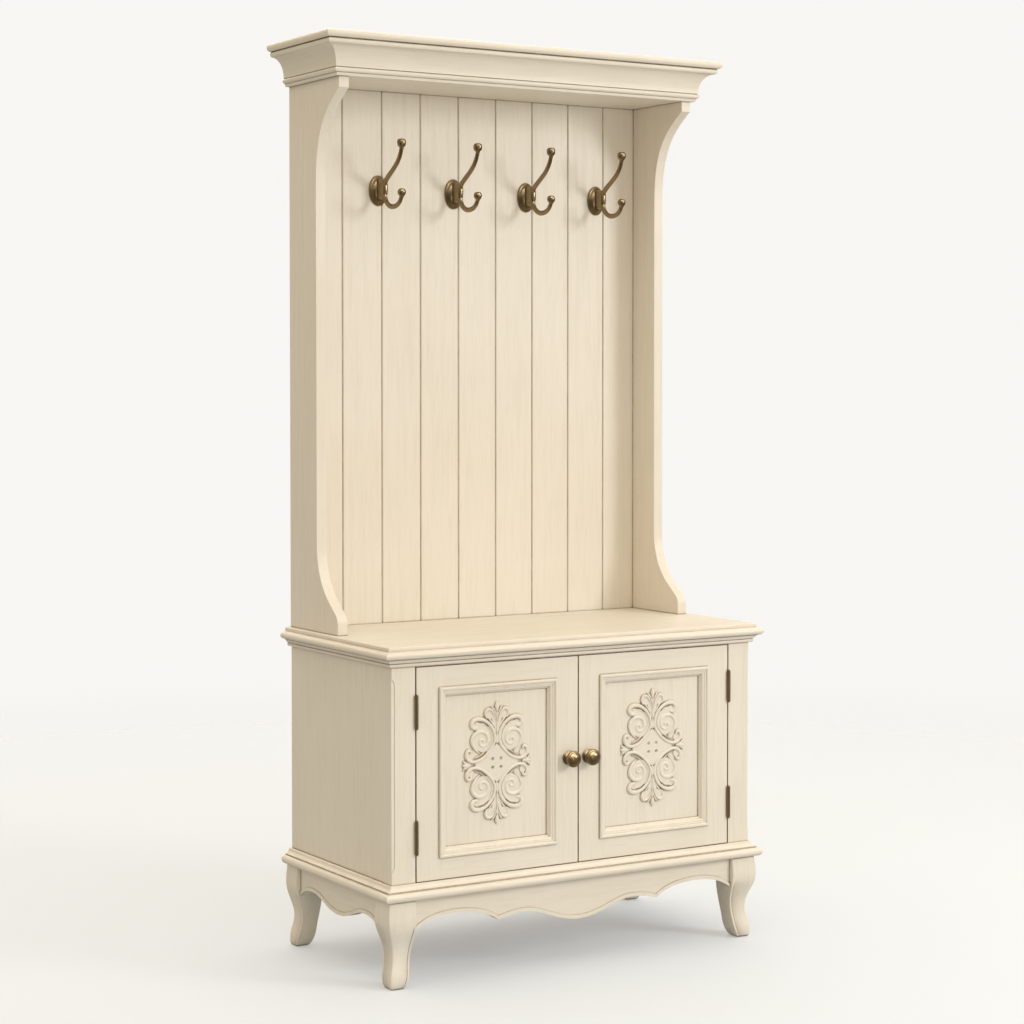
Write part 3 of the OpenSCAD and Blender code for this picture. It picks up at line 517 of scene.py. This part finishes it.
# Strokes of one quarter in mm, x out from the middle and y up: the points of a chain of cubic
# curves, then half widths and heights at even steps along it
STROKES = (
    # Main C-scroll, from its curled head through the waist to its tail
    (((45, 69), (53, 67), (58, 76), (53, 82), (48, 88), (36, 87), (27, 82.5), (13, 75), (5, 62),
      (4.4, 47), (4.4, 38), (12, 28), (22, 19), (34, 8), (46, 4.5), (54, 6), (64, 8), (69, 16),
      (66, 24), (63, 30), (57, 28), (57.5, 23)),
     (3.8, 5.0, 4.4, 3.8, 3.3, 3.2, 3.5, 4.0, 3.9, 2.8),
     (4.0, 5.0, 5.0, 4.8, 4.6, 4.6, 4.8, 5.0, 5.0, 4.0)),
    # Thin bead inside the C-scroll
    (((46, 76), (40, 79.5), (31, 77), (22, 71), (14, 64), (11, 55), (11.4, 46), (12.5, 38),
      (18, 31), (27, 24), (36, 16), (44, 13), (52, 13.5)),
     (0.8, 1.5, 1.5, 1.5, 1.4, 0.8), (2.0, 3.2, 3.4, 3.4, 3.2, 2.0)),
    # Leaf spiral
    (((38, 21), (46, 26), (55, 36), (54.5, 47), (53, 58), (42, 64), (32, 61.5), (21, 59),
      (17, 47), (22, 39), (27, 32), (36, 33), (38, 40), (39, 47), (32, 49), (29.5, 44)),
     (1.4, 3.5, 4.2, 4.0, 3.4, 2.9, 2.9, 3.2, 3.0), (2.4, 4.2, 4.6, 4.4, 4.0, 3.8, 3.8, 4.0, 3.6)),
    # Side bud and its fork
    (((57, 0), (63, 0), (70, 0), (76, 0)), (2.2, 2.8, 4.4, 3.8, 0.8), (3.4, 4.0, 5.0, 4.6, 2.0)),
    (((60, 1.5), (66, 2), (71, 5), (74, 9.5)), (1.4, 2.4, 3.0, 1.2), (3.0, 4.2, 4.4, 2.2)),
    # Stem, bud and leaves of the tip
    (((0, 40), (0, 60), (0, 80), (0, 100)), (3.6, 2.0, 1.6, 2.4), (4.4, 3.8, 3.8, 4.2)),
    (((0, 99), (0, 104), (0, 111), (0, 117.5)), (1.6, 4.2, 5.2, 3.8, 0.8), (3.4, 4.6, 5, 4.4, 2)),
    (((3, 79), (5, 92), (10, 104), (18, 103.5), (26, 103), (27, 93), (22.5, 87)),
     (1.4, 2.4, 3.2, 3.6, 3.4, 2.0), (3.0, 4.2, 4.8, 4.8, 4.4, 3.2)),
    (((2, 90), (4, 100), (8, 106), (13.5, 108)), (1.2, 2.2, 2.6, 1.0), (3.2, 4.2, 4.2, 2.2)),
    (((4, 66), (9, 76), (16, 84), (21, 90)), (1.0, 2.0, 2.4, 1.0), (2.4, 3.4, 3.4, 2.4)),
)
STROKE_STEPS = 26
# A stroke's rounded section: height share = (1 - share of the half width ** a) ** b
STROKE_FLATNESS, STROKE_FULLNESS = 2.6, 0.55
# Low ground between the strokes: a diamond (half width, half height, slope outside it) and
# discs (x, y, radius), in mm
DIAMOND = (50, 38, 28)
GROUND = ((29, 45, 23), (33, 66, 13), (17, 60, 12), (44, 74, 7), (0, 52, 5.5), (0, 64, 7),
          (3, 76, 8), (4, 85, 8), (16, 93, 9), (58, 16, 8), (62, 4, 6))
GROUND_HEIGHT, STIPPLE_HEIGHT = 2.0, 0.22
DRAWN_WIDTH, DRAWN_HEIGHT = 154.0, 236.0
# A round hole through each quarter's ground (x, y, radius), and how far its wall slopes
PIT, PIT_SLOPE = (9.0, 8.2, 3.3), 0.7
ORNAMENT_SUNK = 0.2


def ornament_field(step):
    """Distance outside the carving and its height, over one quarter, in mm."""
    xs = np.arange(0, DRAWN_WIDTH / 2 + 3 * step, step)
    ys = np.arange(0, DRAWN_HEIGHT / 2 + 3 * step, step)
    x, y = np.meshgrid(xs, ys)
    outside = (np.abs(x) / DIAMOND[0] + np.abs(y) / DIAMOND[1] - 1) * DIAMOND[2]
    for cx, cy, radius in GROUND:
        outside = np.minimum(outside, np.hypot(x - cx, y - cy) - radius)
    stipple = STIPPLE_HEIGHT * (np.sin(2.3 * x + 1.1 * np.sin(1.7 * y))
                                * np.sin(2.1 * y + np.sin(1.3 * x)))
    relief = (GROUND_HEIGHT + stipple) * np.sqrt(np.clip(-outside, 0, 1))
    for points, widths, heights in STROKES:
        line = cubic([(px, py, 0) for px, py in points], STROKE_STEPS)
        last = len(line) - 1
        for k, at in enumerate(line):
            share = k / last
            half = np.interp(share, np.linspace(0, 1, len(widths)), widths)
            top = np.interp(share, np.linspace(0, 1, len(heights)), heights)
            away = np.hypot(x - at[0], y - at[1])
            outside = np.minimum(outside, away - half)
            rise = top * np.clip(1 - (away / half) ** STROKE_FLATNESS, 0, 1) ** STROKE_FULLNESS
            relief = np.maximum(relief, rise)
    hole = PIT[2] - np.hypot(x - PIT[0], y - PIT[1])
    relief = np.where(hole > 0, relief * np.clip(1 - hole / PIT_SLOPE, 0, 1), relief)
    return xs, ys, outside, relief


def ornament_mesh(centre, width, height, step):
    """A closed relief mesh from the mirrored quarter: carved front and flat back."""
    xs, ys, outside, relief = ornament_field(step)
    scale_x, scale_y = width / DRAWN_WIDTH * MM, height / DRAWN_HEIGHT * MM
    full_x = np.concatenate([-xs[:0:-1], xs])
    full_y = np.concatenate([-ys[:0:-1], ys])
    halves = [np.concatenate([field[:, :0:-1], field], 1) for field in (outside, relief)]
    away, rise = [np.concatenate([half[:0:-1], half], 0) for half in halves]
    slope_y, slope_x = np.gradient(away, step)
    inside = away < 0
    keep = inside[:-1, :-1] | inside[1:, :-1] | inside[:-1, 1:] | inside[1:, 1:]
    # The outer points of the border cells move in to the carving's edge
    pull = np.where(inside, 0, np.clip(away, 0, 1.5 * step))
    x = full_x[None, :] - pull * slope_x
    y = full_y[:, None] - pull * slope_y
    rows, columns = np.nonzero(keep)
    index = -np.ones(away.shape, int)
    corners = [(rows, columns), (rows, columns + 1), (rows + 1, columns + 1), (rows + 1, columns)]
    used = np.zeros(away.shape, bool)
    for r, c in corners:
        used[r, c] = True
    index[used] = np.arange(used.sum())
    front = [(centre[0] + px * scale_x, centre[1] - h * MM, centre[2] + py * scale_y)
             for px, py, h in zip(x[used], y[used], rise[used])]
    back = [(centre[0] + px * scale_x, centre[1] + ORNAMENT_SUNK * MM, centre[2] + py * scale_y)
            for px, py in zip(x[used], y[used])]
    count = len(front)
    quads = np.stack([index[r, c] for r, c in corners], 1)
    faces = [tuple(q) for q in quads]
    sides = {}
    for a, b, c, d in faces:
        for edge in ((a, b), (b, c), (c, d), (d, a)):
            if (edge[1], edge[0]) in sides:
                del sides[(edge[1], edge[0])]
            else:
                sides[edge] = True
    faces += [tuple(v + count for v in reversed(q)) for q in quads]
    faces += [(b, a, a + count, b + count) for a, b in sides]
    return front + back, faces


# ---- Legs ----

# All in mm. The legs' shoulders swell past their corners, and the rear legs' corners stand
# behind their flat backs.
LEG_SWELL, REAR_CORNER_OUT = 3.0, 9.5
# A groove beside the bead on each inner edge: its depth, its foot and the length of its end
BEAD_GROOVE, BEAD_FOOT, BEAD_FADE = 1.7, 124, 14
FOOT_ROUNDING, FOOT_ROUNDING_HEIGHT = 1.2, 3.5
LEG_CORNER_RADIUS = 2.0
FOOT_LEVELS = (0, 0.8, 2, 3.5, 5.5, 8)
LEG_STEPS = 44


def leg_mesh(corner, inward, height, width, flat_back, bead):
    """A cabriole leg. corner is (x, y) where its outer faces meet at the top, inward is the
    (x, y) direction into the cabinet, and flat_back is how far in a rear leg's back stands."""
    mm_h, mm_w = height / MM, width / MM
    outer = cubic([(10, 0, 0), (7, 0, 0), (5.5, 6, 0), (5.5, 12, 0), (5.5, 30, 0), (13.5, 38, 0),
                   (13.5, 62, 0), (13.5, 92, 0), (-3, 105, 0), (-3, mm_h - 37, 0),
                   (-3, mm_h - 24, 0), (-1, mm_h - 12, 0), (0, mm_h, 0)], 16)
    inner = cubic([(mm_w - 25, 0, 0), (mm_w - 17, 0, 0), (mm_w - 11, 18, 0), (mm_w - 9, 34, 0),
                   (mm_w - 7, 56, 0), (mm_w, mm_h - 81, 0), (mm_w, mm_h - 54, 0),
                   (mm_w, mm_h - 36, 0), (mm_w, mm_h - 18, 0), (mm_w, mm_h, 0)], 16)

    def at(curve, z):
        return float(np.interp(z, [p[1] for p in curve], [p[0] for p in curve]))

    rings = []
    for z in (*FOOT_LEVELS, *np.linspace(11, mm_h, LEG_STEPS)):
        lo, hi = at(outer, z), at(inner, z)
        back = max(lo, flat_back / MM) if flat_back else lo
        shrink = FOOT_ROUNDING * (1 - min(1, z / FOOT_ROUNDING_HEIGHT)) ** 2
        groove = BEAD_GROOVE * min(1, max(0, (BEAD_FOOT - z) / BEAD_FADE)) if z > 1 else 0
        section = leg_section(lo + shrink, back + shrink, hi - shrink, groove, bead)
        rings.append([(corner[0] + inward[0] * u * MM, corner[1] + inward[1] * v * MM, z * MM)
                      for u, v in section])
    vertices, faces = [], []
    if inward[0] * inward[1] < 0:
        rings = [list(reversed(ring)) for ring in rings]
    add_rings(vertices, faces, rings)
    return vertices, faces


def leg_section(lo_x, lo_y, hi, groove, bead):
    """One ring of a leg: rounded corners, and a bead along each inner edge of its outer faces."""
    r = LEG_CORNER_RADIUS
    beading = ((bead + 1.2, 0), (bead + 0.4, groove), (bead - 0.4, groove), (bead - 1.2, 0))

    def corner(x, y, first_degree):
        arc = [math.radians(first_degree + 30 * i) for i in range(4)]
        return [(x + r * math.cos(turn), y + r * math.sin(turn)) for turn in arc]

    return [*corner(lo_x + r, lo_y + r, 180),
            *((hi - offset, lo_y + deep) for offset, deep in beading),
            *corner(hi - r, lo_y + r, 270),
            *corner(hi - r, hi - r, 0),
            *corner(lo_x + r, hi - r, 90),
            *((lo_x + deep, hi - offset) for offset, deep in reversed(beading))]


# ---- Knobs and screws ----

# Turned shapes as (radius, distance out from the door's face) in mm
KNOB_PROFILE = (
    (0.2, -0.2), (13.5, -0.2), (13.7, 0.8), (13.3, 2.0), (12.0, 2.7), (11.2, 2.4),
    (10.4, 3.2), (8.2, 4.6), (6.6, 6.6), (6.1, 8.4), (6.5, 10.2), (9.0, 11.4),
    (12.8, 12.4), (14.6, 13.6), (14.2, 14.6), (15.6, 15.6), (16.4, 17.6), (16.3, 19.6),
    (15.6, 21.4), (14.6, 22.7), (13.5, 23.1), (12.8, 22.6), (12.2, 22.9), (11.0, 24.4),
    (8.6, 26.2), (5.6, 27.3), (2.8, 27.8), (0.2, 27.95))
# The knob's shank through the door, and its screw head behind it
SHANK_PROFILE = (
    (2.0, 0.1), (2.0, -20.0), (4.5, -20.0), (4.5, -21.2), (3.6, -22.2), (0.6, -22.5))
KNOB_SIDES, SHANK_SIDES = 56, 28
# Hinge screws in mm: radius, half width of the slot, width of a half disc beside it, and levels
# as (out, share of full size)
SCREW_RADIUS, SLOT_HALF_WIDTH, HALF_DISC_WIDTH, SCREW_ARC_STEPS = 2.7, 0.35, 2.4, 12
SCREW_LEVELS = ((-0.3, 1.0), (0.06, 1.0), (0.14, 0.86))


def knob_mesh(centre):
    """A turned knob: rosette, neck and dome with a rim. centre is on the door's face."""
    vertices, faces = [], []
    # The shank is turned the other way about, because its profile runs inward
    for profile, sides, way in ((KNOB_PROFILE, KNOB_SIDES, 1), (SHANK_PROFILE, SHANK_SIDES, -1)):
        add_rings(vertices, faces, lathe(
            profile, lambda x, z, out, way=way: (centre[0] + x * MM, centre[1] - out * MM,
                                                 centre[2] + way * z * MM), sides))
    return vertices, faces


def screw_heads_mesh(places, facing):
    """Flat slotted screw heads at the places. facing is 1 or -1, the way along X they face."""
    vertices, faces = [], []
    arc = [math.pi * i / SCREW_ARC_STEPS for i in range(SCREW_ARC_STEPS + 1)]
    for at in places:
        # Each head is two half discs with the slot between them
        for half in (1, -1):
            ring = [(half * (SLOT_HALF_WIDTH + HALF_DISC_WIDTH * math.sin(turn)) * MM,
                     SCREW_RADIUS * math.cos(turn) * MM) for turn in arc]
            rings = [[(at[0] + facing * out * MM, at[1] + y * shrink, at[2] + z * shrink)
                      for y, z in (ring if half * facing > 0 else reversed(ring))]
                     for out, shrink in SCREW_LEVELS]
            add_rings(vertices, faces, rings)
    return vertices, faces


# ---- Properties ----

class HallTreeFinish(bpy.types.PropertyGroup):
    """Colours and finish of the paint, the brass and the steel"""
    paint: bpy.props.FloatVectorProperty(
        name="Paint", description="Ivory paint", subtype="COLOR", default=(0.79, 0.735, 0.645))
    paint_warm: bpy.props.FloatVectorProperty(
        name="Warm paint", description="Paint where it has yellowed", subtype="COLOR",
        default=(0.765, 0.705, 0.605))
    # Brown of the grain, of the glazing and of the painted shade in and round the recesses
    glaze_and_shade: bpy.props.FloatVectorProperty(
        name="Glaze and shade", description="Brown glaze in the recesses and the grain", subtype="COLOR",
        default=(0.21, 0.13, 0.055))
    # Lighter paint on the edges: partly rubbed wear, partly a painted highlight
    edge_wear_and_highlight_tone: bpy.props.FloatVectorProperty(
        name="Edges", description="Paint rubbed light on the edges", subtype="COLOR",
        default=(0.90, 0.86, 0.77))
    # Amount and reach of the brown glazing and painted shade in the recesses, gaps and carving
    glaze_and_shade_amount: bpy.props.FloatProperty(
        name="Glaze amount", description="Strength of the glaze in the recesses", default=0.85,
        min=0.0, max=1.0, subtype="FACTOR")
    glaze_and_shade_reach: bpy.props.FloatProperty(
        name="Glaze reach", description="How far from a corner the glaze reaches", default=0.0045,
        unit="LENGTH")
    carved_glaze_and_shade_reach: bpy.props.FloatProperty(
        name="Carving glaze reach", description="How far the glaze reaches in the carving",
        default=0.006, unit="LENGTH")
    # Painted shade: a broad darkening round the recesses
    shade_amount: bpy.props.FloatProperty(
        name="Painted shade", description="Strength of the thin glaze round the recesses", default=0.06,
        min=0.0, max=1.0, subtype="FACTOR")
    shade_reach: bpy.props.FloatProperty(
        name="Toning reach", description="How far from a corner the thin glaze reaches",
        default=0.02, unit="LENGTH")
    grain: bpy.props.FloatProperty(
        name="Grain", description="How much the grain's lines show in the paint", default=0.095,
        min=0.0, max=1.0, subtype="FACTOR")
    # How light the edges are: partly rubbed wear, partly a painted highlight
    wear_and_highlight: bpy.props.FloatProperty(
        name="Wear", description="How light the rubbed edges are", default=0.55, min=0.0, max=1.0,
        subtype="FACTOR")
    edge_radius: bpy.props.FloatProperty(
        name="Edge width", description="Width of the rubbed edges", default=0.0016, unit="LENGTH")
    brass: bpy.props.FloatVectorProperty(
        name="Brass", description="Antique brass", subtype="COLOR", default=(0.32, 0.265, 0.18))
    # Tarnish in the recesses, also painted as shade towards the brass's outline
    brass_tarnish_and_rim_shade: bpy.props.FloatVectorProperty(
        name="Tarnish", description="Brass darkened by age", subtype="COLOR",
        default=(0.06, 0.04, 0.02))
    brass_bright: bpy.props.FloatVectorProperty(
        name="Rubbed brass", description="Brass rubbed bright on its high spots", subtype="COLOR",
        default=(0.62, 0.54, 0.40))
    steel: bpy.props.FloatVectorProperty(
        name="Steel", description="Zinc-plated steel", subtype="COLOR", default=(0.55, 0.55, 0.53))
    steel_dull: bpy.props.FloatVectorProperty(
        name="Dull steel", description="Steel dulled by age", subtype="COLOR",
        default=(0.25, 0.25, 0.24))


class HallTreeSizes(bpy.types.PropertyGroup):
    """Sizes of the pieces that the CAD model only blocks out"""
    plate_width: bpy.props.FloatProperty(
        name="Plate width", description="Width of a hook's oval plate", default=0.042,
        unit="LENGTH")
    plate_height: bpy.props.FloatProperty(
        name="Plate height", description="Height of a hook's oval plate", default=0.062,
        unit="LENGTH")
    relief_step: bpy.props.FloatProperty(
        name="Relief detail", description="Spacing of the ornament's mesh", default=0.0007,
        unit="LENGTH")
    board_edge: bpy.props.FloatProperty(
        name="Board edges", description="Rounding of the boards' edges", default=0.0012,
        unit="LENGTH")
    moulding_edge: bpy.props.FloatProperty(
        name="Moulding edges", description="Rounding of the mouldings' edges", default=0.0005,
        unit="LENGTH")
    hinge_length: bpy.props.FloatProperty(
        name="Hinge length", description="Length of a hinge's leaves", default=0.063,
        unit="LENGTH")
    screw_pitch: bpy.props.FloatProperty(
        name="Screw pitch", description="Distance between the screws of a leaf", default=0.022,
        unit="LENGTH")
    leaf_offset: bpy.props.FloatProperty(
        name="Leaf offset", description="From a hinge's axis to the inner face of its leaves",
        default=0.0003, unit="LENGTH")
    leg_bead: bpy.props.FloatProperty(
        name="Leg bead", description="Width of the bead along a leg's inner edges", default=0.0055,
        unit="LENGTH")


# ---- Operators ----

class HALLTREE_OT_materials(bpy.types.Operator):
    """Make the paint, brass and steel materials"""
    bl_idname = "hall_tree.materials"
    bl_label = "Materials"

    def execute(self, context):
        finish = context.scene.hall_tree_finish
        masks, grain, patina = recess_and_edge_group(), grain_group(), patina_group()
        for name, stretch in (("paint_upright", (1.0, 1.0, 0.05)),
                              ("paint_along_x", (0.05, 1.0, 1.0)),
                              ("paint_along_y", (1.0, 0.05, 1.0))):
            painted_wood(name, stretch, finish, masks, grain, finish.glaze_and_shade_amount,
                         finish.glaze_and_shade_reach)
        # The carving gets more brown glazing and painted shade in its hollows
        painted_wood("paint_carved", (1.0, 1.0, 1.0), finish, masks, grain, 0.9,
                     finish.carved_glaze_and_shade_reach)
        antique_brass("antique_brass", finish, masks, patina)
        zinc_steel("zinc_steel", finish, masks, patina)
        return {"FINISHED"}


class HALLTREE_OT_cad_pieces(bpy.types.Operator):
    """Give every CAD piece its material and softly rounded edges"""
    bl_idname = "hall_tree.cad_pieces"
    bl_label = "Boards, mouldings and hinges"

    def execute(self, context):
        sizes = context.scene.hall_tree_sizes
        groups = weld_group(), shade_group()
        for name, piece in NODES.items():
            if name in BRASS_NODES or name in HOOKS or name.endswith("_knob"):
                material = bpy.data.materials["antique_brass"]
            elif name in STEEL_NODES:
                material = bpy.data.materials["zinc_steel"]
            else:
                material = grain_of(name)
            for place in piece.material_slots:
                place.material = material
            small = name in MOULDED or "plank" in name or name.endswith(FINE_ENDINGS)
            tiny = name in BRASS_NODES or name in STEEL_NODES
            edge = METAL_EDGE if tiny else sizes.moulding_edge if small else sizes.board_edge
            soften(piece, edge, groups)
        return {"FINISHED"}


class HALLTREE_OT_hooks(bpy.types.Operator):
    """Make the four cast coat hooks"""
    bl_idname = "hall_tree.hooks"
    bl_label = "Hooks"

    def execute(self, context):
        sizes = context.scene.hall_tree_sizes
        for name in HOOKS:
            low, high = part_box(name)
            wall = ((low.x + high.x) / 2, high.y, low.z + HOOK_MIDDLE * MM)
            vertices, faces = hook_mesh(wall, sizes)
            new_piece("cast_" + name, vertices, faces, bpy.data.materials["antique_brass"],
                      "carcass", (name,))
        return {"FINISHED"}


class HALLTREE_OT_ornaments(bpy.types.Operator):
    """Carve the ornament of each door"""
    bl_idname = "hall_tree.ornaments"
    bl_label = "Carved ornaments"

    def execute(self, context):
        step = context.scene.hall_tree_sizes.relief_step / MM
        for door in DOORS:
            low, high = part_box(door + "_ornament")
            centre = ((low.x + high.x) / 2, high.y, (low.z + high.z) / 2)
            vertices, faces = ornament_mesh(centre, (high.x - low.x) / MM, (high.z - low.z) / MM,
                                            step)
            new_piece("carved_" + door + "_ornament", vertices, faces,
                      bpy.data.materials["paint_carved"], door,
                      (door + "_ornament",))
        return {"FINISHED"}


class HALLTREE_OT_legs(bpy.types.Operator):
    """Shape the four cabriole legs"""
    bl_idname = "hall_tree.legs"
    bl_label = "Legs"

    def execute(self, context):
        bead = context.scene.hall_tree_sizes.leg_bead / MM
        bulge = LEG_SWELL * MM
        proud = REAR_CORNER_OUT * MM
        for name in LEGS:
            low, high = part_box(name)
            side = 1 if "right" in name else -1
            corner_x = high.x - bulge if side > 0 else low.x + bulge
            width = high.x - low.x - bulge
            rear = name.startswith("rear")
            corner_y = high.y + proud if rear else low.y + bulge
            vertices, faces = leg_mesh((corner_x, corner_y), (-side, -1 if rear else 1),
                                       high.z, width, proud if rear else 0, bead)
            new_piece("shaped_" + name, vertices, faces, bpy.data.materials["paint_upright"],
                      "carcass", (name,))
        return {"FINISHED"}


class HALLTREE_OT_knobs(bpy.types.Operator):
    """Turn the two knobs"""
    bl_idname = "hall_tree.knobs"
    bl_label = "Knobs"

    def execute(self, context):
        for door in DOORS:
            low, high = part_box(door + "_knob")
            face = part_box(door + "_stiles")[0].y
            centre = ((low.x + high.x) / 2, face, (low.z + high.z) / 2)
            vertices, faces = knob_mesh(centre)
            new_piece("turned_" + door + "_knob", vertices, faces,
                      bpy.data.materials["antique_brass"], door,
                      (door + "_knob",))
        return {"FINISHED"}


class HALLTREE_OT_hinge_screws(bpy.types.Operator):
    """Put three slotted screws in every hinge leaf"""
    bl_idname = "hall_tree.hinge_screws"
    bl_label = "Hinge screws"

    def execute(self, context):
        sizes = context.scene.hall_tree_sizes
        brass = bpy.data.materials["antique_brass"]
        for door, side in zip(DOORS, (-1, 1)):
            low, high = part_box(door + "_hinges")
            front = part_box(door + "_stiles")[0].y
            middle_y = (front + high.y) / 2 + 1.0 * MM
            barrel_x = (low.x + high.x) / 2
            heights = [end + way * (sizes.hinge_length / 2 + step * sizes.screw_pitch)
                       for end, way in ((low.z, 1), (high.z, -1))
                       for step in (-1, 0, 1)]
            leaf = sizes.leaf_offset
            for body, way in (("carcass", 1), (door, -1)):
                places = [(barrel_x + side * way * leaf, middle_y, z) for z in heights]
                vertices, faces = screw_heads_mesh(places, -side * way)
                new_piece(body + "_screws_" + door, vertices, faces, brass, body)
        return {"FINISHED"}


class HALLTREE_OT_stage(bpy.types.Operator):
    """Set the floor, the studio light and the camera"""
    bl_idname = "hall_tree.stage"
    bl_label = "Floor, light and camera"

    def execute(self, context):
        scene = context.scene
        bpy.ops.mesh.primitive_plane_add(size=40)
        floor = context.active_object
        floor.name = "studio_floor"
        floor.data.materials.append(studio_floor())
        scene.world = studio_world()
        area_light("key", place=(3.0, -3.95, 2.45), target=(0.0, 0.0, 0.95),
                   size=1.5, power=96.0, colour=(0.985, 1.0, 1.03))
        area_light("fill", place=(-0.4, -4.7, 0.5), target=(0.0, 0.0, 1.2),
                   size=2.0, power=20.0, colour=(1.0, 0.97, 0.93))

        camera = bpy.data.objects.new("camera", bpy.data.cameras.new("camera"))
        scene.collection.objects.link(camera)
        camera.location = (-2.5234, -4.0710, 1.1571)
        looking_down, turned_right = math.radians(1.755), math.radians(31.479)
        camera.rotation_euler = (math.radians(90) - looking_down, 0.0, -turned_right)
        camera.data.lens = 82.39
        camera.data.sensor_width = 36.0
        camera.data.shift_y = -0.06
        scene.camera = camera
        scene.view_settings.view_transform = "Standard"
        return {"FINISHED"}


def studio_floor():
    """A pale floor that melts into the studio's white with distance. Metal sees it darker."""
    material, tree, shader, at = new_material("studio_floor")
    path = add_node(tree, "ShaderNodeLightPath")
    base = mixed(tree, path.outputs["Is Glossy Ray"], (0.50, 0.55, 0.61), (0.14, 0.13, 0.11))
    tree.links.new(base, shader.inputs["Base Color"])
    shader.inputs["Roughness"].default_value = 0.7
    shader.inputs["Specular IOR Level"].default_value = 0.15
    shader.inputs["Emission Color"].default_value = (1.0, 0.96, 0.92, 1.0)
    tree.links.new(math_node(tree, "MULTIPLY", path.outputs["Is Camera Ray"], 0.28),
                   shader.inputs["Emission Strength"])
    reach = add_node(tree, "ShaderNodeVectorMath", {0: at}, operation="LENGTH").outputs["Value"]
    tree.links.new(ramp(tree, reach, 1.2, 4.5, 1.0, 0.0), shader.inputs["Alpha"])
    return material


def studio_world():
    """White to the camera, warmer and dimmer as a light, and bright only overhead in
    reflections, so that metal gets its contrast."""
    world = bpy.data.worlds.new("studio")
    world.use_nodes = True
    tree = world.node_tree
    tree.nodes.clear()
    path = add_node(tree, "ShaderNodeLightPath")
    toward = add_node(tree, "ShaderNodeTexCoord").outputs["Generated"]
    direction = add_node(tree, "ShaderNodeSeparateXYZ", {0: toward}).outputs
    height = direction["Z"]
    overhead = ramp(tree, height, 0.08, 0.40, 0.07, 1.10)
    across = math_node(tree, "ABSOLUTE", direction["X"])
    softbox = math_node(tree, "MULTIPLY", ramp(tree, height, 0.50, 0.58, 0.0, 4.4),
                        ramp(tree, across, 0.45, 0.55, 1.0, 0.0))
    mirror_light = math_node(tree, "ADD", overhead, softbox)
    soft_top = ramp(tree, height, 0.0, 0.95, 0.60, 1.22)
    seen = add_node(tree, "ShaderNodeBackground",
                    {"Color": (1.0, 0.985, 0.96, 1.0), "Strength": 0.94})
    glow = add_node(tree, "ShaderNodeBackground",
                    {"Color": (1.0, 0.885, 0.705, 1.0), "Strength": soft_top})
    mirrored = add_node(tree, "ShaderNodeBackground",
                        {"Color": (1.0, 0.97, 0.92, 1.0), "Strength": mirror_light})
    lit = add_node(tree, "ShaderNodeMixShader",
                   {0: path.outputs["Is Glossy Ray"], 1: glow.outputs[0], 2: mirrored.outputs[0]})
    both = add_node(tree, "ShaderNodeMixShader",
                    {0: path.outputs["Is Camera Ray"], 1: lit.outputs[0], 2: seen.outputs[0]})
    output = tree.nodes.new("ShaderNodeOutputWorld")
    tree.links.new(both.outputs[0], output.inputs["Surface"])
    return world


def area_light(name, place, target, size, power, colour):
    """Adds a square soft light that faces target."""
    light = bpy.data.lights.new(name, "AREA")
    light.size = size
    light.energy = power
    light.color = colour
    lamp = bpy.data.objects.new(name, light)
    lamp.location = place
    lamp.rotation_euler = (Vector(target) - Vector(place)).to_track_quat("-Z", "Y").to_euler()
    bpy.context.scene.collection.objects.link(lamp)


class HALLTREE_PT_panel(bpy.types.Panel):
    """Lists the pieces of the hall tree"""
    bl_idname = "HALLTREE_PT_panel"
    bl_label = "Hall tree"
    bl_space_type = "VIEW_3D"
    bl_region_type = "UI"
    bl_category = "Hall tree"

    def draw(self, context):
        for operator in STEPS:
            self.layout.operator(operator.bl_idname)


STEPS = (HALLTREE_OT_stage, HALLTREE_OT_materials, HALLTREE_OT_cad_pieces, HALLTREE_OT_hooks,
         HALLTREE_OT_ornaments, HALLTREE_OT_legs, HALLTREE_OT_knobs, HALLTREE_OT_hinge_screws)
CLASSES = (HallTreeFinish, HallTreeSizes, *STEPS, HALLTREE_PT_panel)


def register():
    for cls in CLASSES:
        bpy.utils.register_class(cls)
    bpy.types.Scene.hall_tree_finish = bpy.props.PointerProperty(type=HallTreeFinish)
    bpy.types.Scene.hall_tree_sizes = bpy.props.PointerProperty(type=HallTreeSizes)


def unregister():
    del bpy.types.Scene.hall_tree_finish
    del bpy.types.Scene.hall_tree_sizes
    for cls in reversed(CLASSES):
        bpy.utils.unregister_class(cls)


def main():
    register()
    bpy.ops.hall_tree.stage()
    bpy.ops.hall_tree.materials()
    bpy.ops.hall_tree.cad_pieces()
    bpy.ops.hall_tree.hooks()
    bpy.ops.hall_tree.ornaments()
    bpy.ops.hall_tree.legs()
    bpy.ops.hall_tree.knobs()
    bpy.ops.hall_tree.hinge_screws()


if __name__ == "__main__":
    main()
